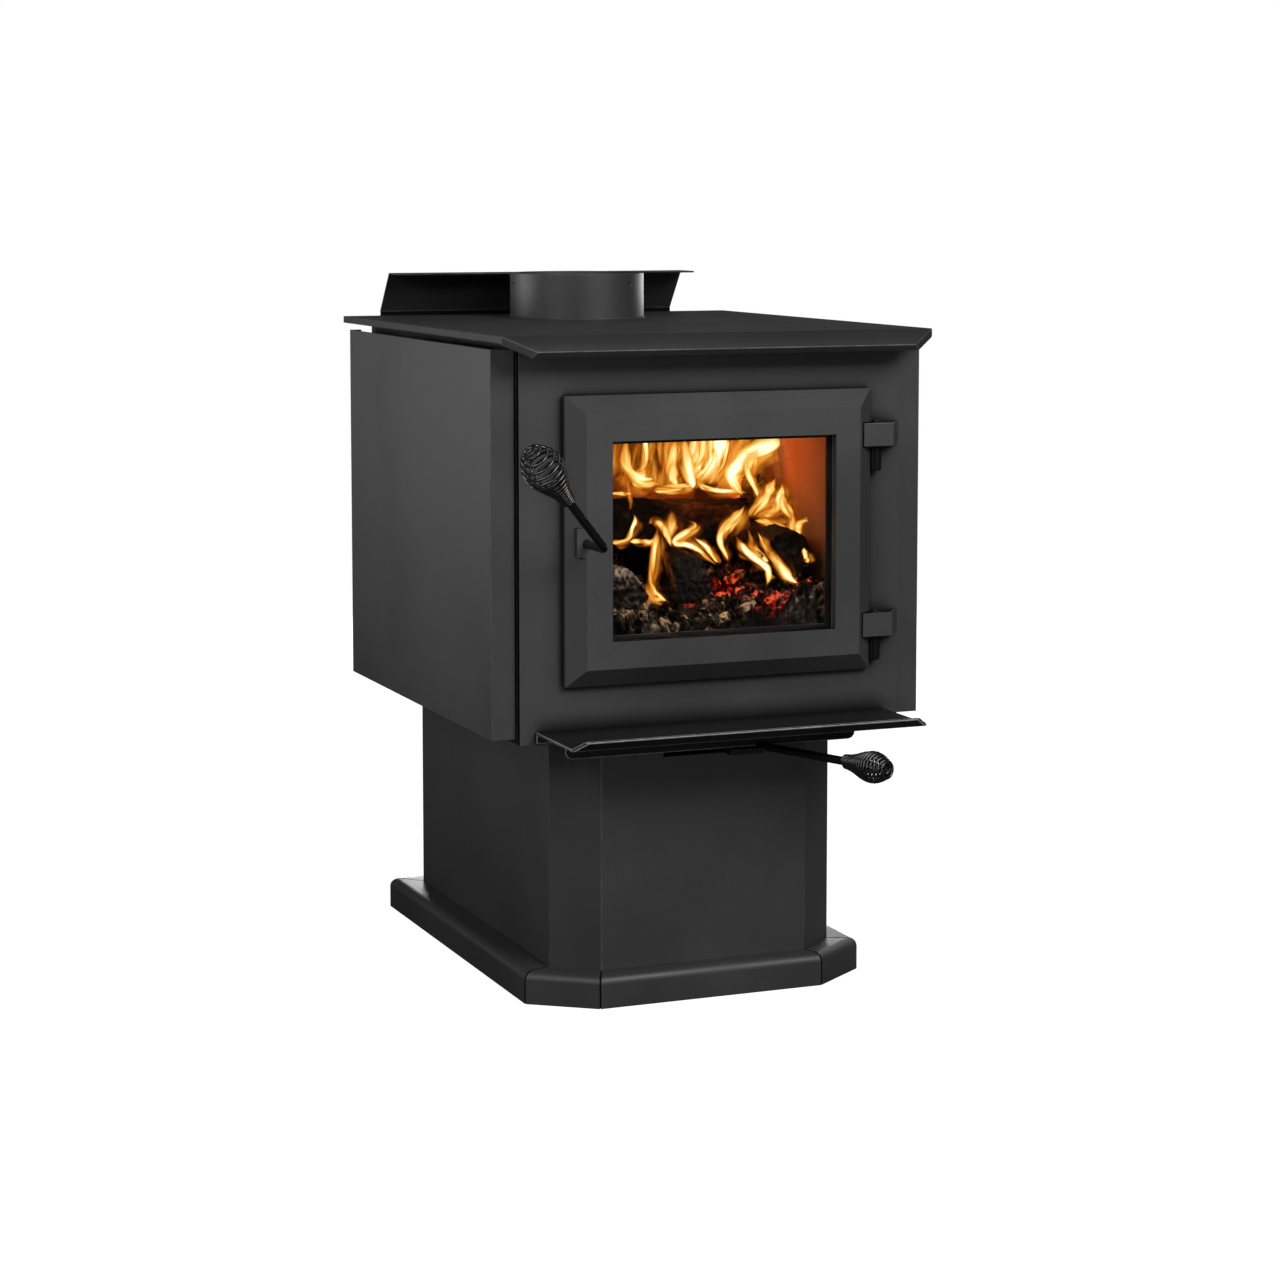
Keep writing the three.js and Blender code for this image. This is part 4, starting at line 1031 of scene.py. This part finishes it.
def make_studio():
    bpy.context.scene.view_settings.view_transform = "Standard"
    world = bpy.data.worlds.new("studio")
    bpy.context.scene.world = world
    world.use_nodes = True
    tree = world.node_tree
    back = tree.nodes["Background"]
    seen = tree.nodes.new("ShaderNodeLightPath").outputs["Is Camera Ray"]
    strength = tree.nodes.new("ShaderNodeMapRange")
    tree.links.new(seen, strength.inputs["Value"])
    strength.inputs["To Min"].default_value = WORLD_LIGHT
    strength.inputs["To Max"].default_value = 1.0
    tree.links.new(strength.outputs["Result"], back.inputs["Strength"])
    back.inputs["Color"].default_value = (1, 1, 1, 1)

    softbox("front_box", (0.8, -2.5, 2.1), (0, -0.2, 0.75), (1.9, 1.2), 80)
    softbox("front_left_box", (-2.3, -1.5, 1.8), (0, -0.1, 0.75), (1.2, 1.0), 34)
    softbox("left_box", (-1.7, 1.0, 0.62), (-0.25, 0.02, 0.77), (0.8, 0.4), 1.7, spread=60)
    softbox("top_box", (0.2, -0.1, 2.6), (0, -0.1, 0.6), (1.4, 1.4), 8)
    softbox("right_box", (2.1, 1.8, 0.55), (0, 0, 0.4), (1.2, 0.7), 24)
    softbox("back_box", (0.95, 2.6, 0.45), (0.1, 0.2, 0.4), (1.2, 0.6), 32)
    softbox("low_box", (-0.5, -2.3, 0.3), (0, -0.2, 0.18), (1.0, 0.3), 7)

    solid = bmesh.new()
    solid.faces.new([
        solid.verts.new((x * FLOOR_HALF, y * FLOOR_HALF, 0))
        for x, y in ((-1, -1), (1, -1), (1, 1), (-1, 1))
    ])
    mesh = bpy.data.meshes.new("floor")
    solid.to_mesh(mesh)
    solid.free()
    floor = bpy.data.objects.new("floor", mesh)
    bpy.context.collection.objects.link(floor)
    mesh.materials.append(floor_material())


def floor_material():
    """Pale floor. The light that it throws back on the stove is kept low, as on a studio table."""
    surface = Surface("floor", Base_Color=(0.1, 0.1, 0.1, 1), Roughness=0.9, Specular_IOR_Level=0.0)
    tree = surface.tree
    seen = surface.add("LightPath").outputs["Is Camera Ray"]
    bright = surface.add("BsdfPrincipled", {
        "Base Color": (0.12, 0.12, 0.12, 1), "Roughness": 0.9, "Specular IOR Level": 0.0,
        "Emission Color": (1, 1, 1, 1), "Emission Strength": FLOOR_LIGHT,
    })
    both = surface.add("MixShader", {"Fac": seen})
    tree.links.new(surface.shader.outputs[0], both.inputs[1])
    tree.links.new(bright.outputs[0], both.inputs[2])
    tree.links.new(both.outputs[0], tree.nodes["Material Output"].inputs["Surface"])
    return surface.material


# ---------------------------------------------------------------- the stove
make_camera()
make_studio()

# edge paints: lighter than the paint they border, a painted highlight along the rounded edges, with
# patches of wear
edge = highlit_worn_edge("paint_edge", 0.024, 0.045, 0.55)
seam = paint("seam", 0.0015, 0.9, 0.1)
body_paint = paint("stove_paint", 0.021, 0.52)
# the door frame's faces that point up get painted shade, nearly black
door_paint = paint("door_paint", 0.024, 0.5, shaded_faces=(0, 0, 1))
black = paint("handle_black", 0.0018, 0.3, 0.35)
# a lighter edge for the black parts: painted highlight with wear
black_edge = highlit_worn_edge("black_edge", 0.01, 0.05, 0.35)
lip_paint = paint("lip_black", 0.002, 0.4, 0.22)
# the lip's edge paint is far lighter than the lip itself: a painted highlight along its edges
lip_highlight_edge = highlit_worn_edge("lip_highlight_edge", 0.14, 0.2, 0.45)
steel = bare_steel("bare_steel", (0.32, 0.31, 0.30))
sooty_steel = bare_steel("sooty_steel", (0.04, 0.036, 0.033), 0.6)
brick = firebrick("firebrick")
fibre = ceramic_fibre("ceramic_fibre")
rope = glass_rope("rope_seal")

dress(starting("base_trim"), body_paint, 0.9, seam)
dress(starting("base_plate", "pedestal_", "outside_air", "hinge_bracket"), body_paint, 0.8, edge)
dress(starting("side_shield_", "rear_shield_bracket"), body_paint, 0.8, edge)
# the top plate's paint is darker and less glossy than the same paint elsewhere: painted shade
dress(["top_plate"], paint("top_shaded_paint", 0.014, 0.55, 0.36), 1.0, edge)
dress(["flue_collar"], body_paint, 1.0, edge)
# the face plate's faces that point left get painted shade, and so do the places near other pieces
face_paint = paint("face_paint", 0.021, 0.52, shaded_faces=(-1, 0, 0), contact_shade_reach=24 * MM)
dress(["face_plate"], face_paint, 0.6, edge)
# the rear shield's front faces get painted shade, nearly black
dress(["rear_shield"], paint("shield_paint", 0.021, 0.52, shaded_faces=(0, -1, 0)), 0.6, edge)
dress(starting("firebox_", "air_slide_guide"), lip_paint, 0.6, edge)
# the door's edges take a lighter paint: painted highlight with wear
dress(["door_frame"], door_paint, 1.0, highlit_worn_edge("door_edge", 0.03, 0.075, 0.48))
dress(["ash_lip", "ash_lip_bracket"], lip_paint, 1.0, lip_highlight_edge)
dress(["air_lever"], black, 0.6, black_edge)
dress(starting("hinge_barrel"), paint("hinge_black", 0.0012, 0.6, 0.12), 0.6)
dress(starting("hinge_pin", "latch_cam", "latch_catch", "air_tube", "air_slide_plate"), steel, 0.5)
dress(["glass_retainer"], sooty_steel, 0.5)
dress(starting("floor_brick", "side_brick", "rear_brick"), brick, 2.0)
dress(starting("baffle_"), fibre, 1.5)
dress(["glass_gasket"], rope, 0.6)
dress(["door_glass"], ceramic_glass("door_glass"), 0.3)

make_handles(paint("coil_black", 0.002, 0.24, 0.75), black)
make_rope_seal(rope)
make_fasteners(steel, black)
make_welds(body_paint)
make_logs(charred_wood("charred_wood"))
ember_spots = [(bed_spot(across, up), reach, heat) for across, up, reach, heat in EMBER_SPOTS]
coal = coals("coals")
make_ember_bed(coal, ember_spots)
make_loose_coals(coal, ember_spots)
make_flames(flame("flame"))
make_fire_light()
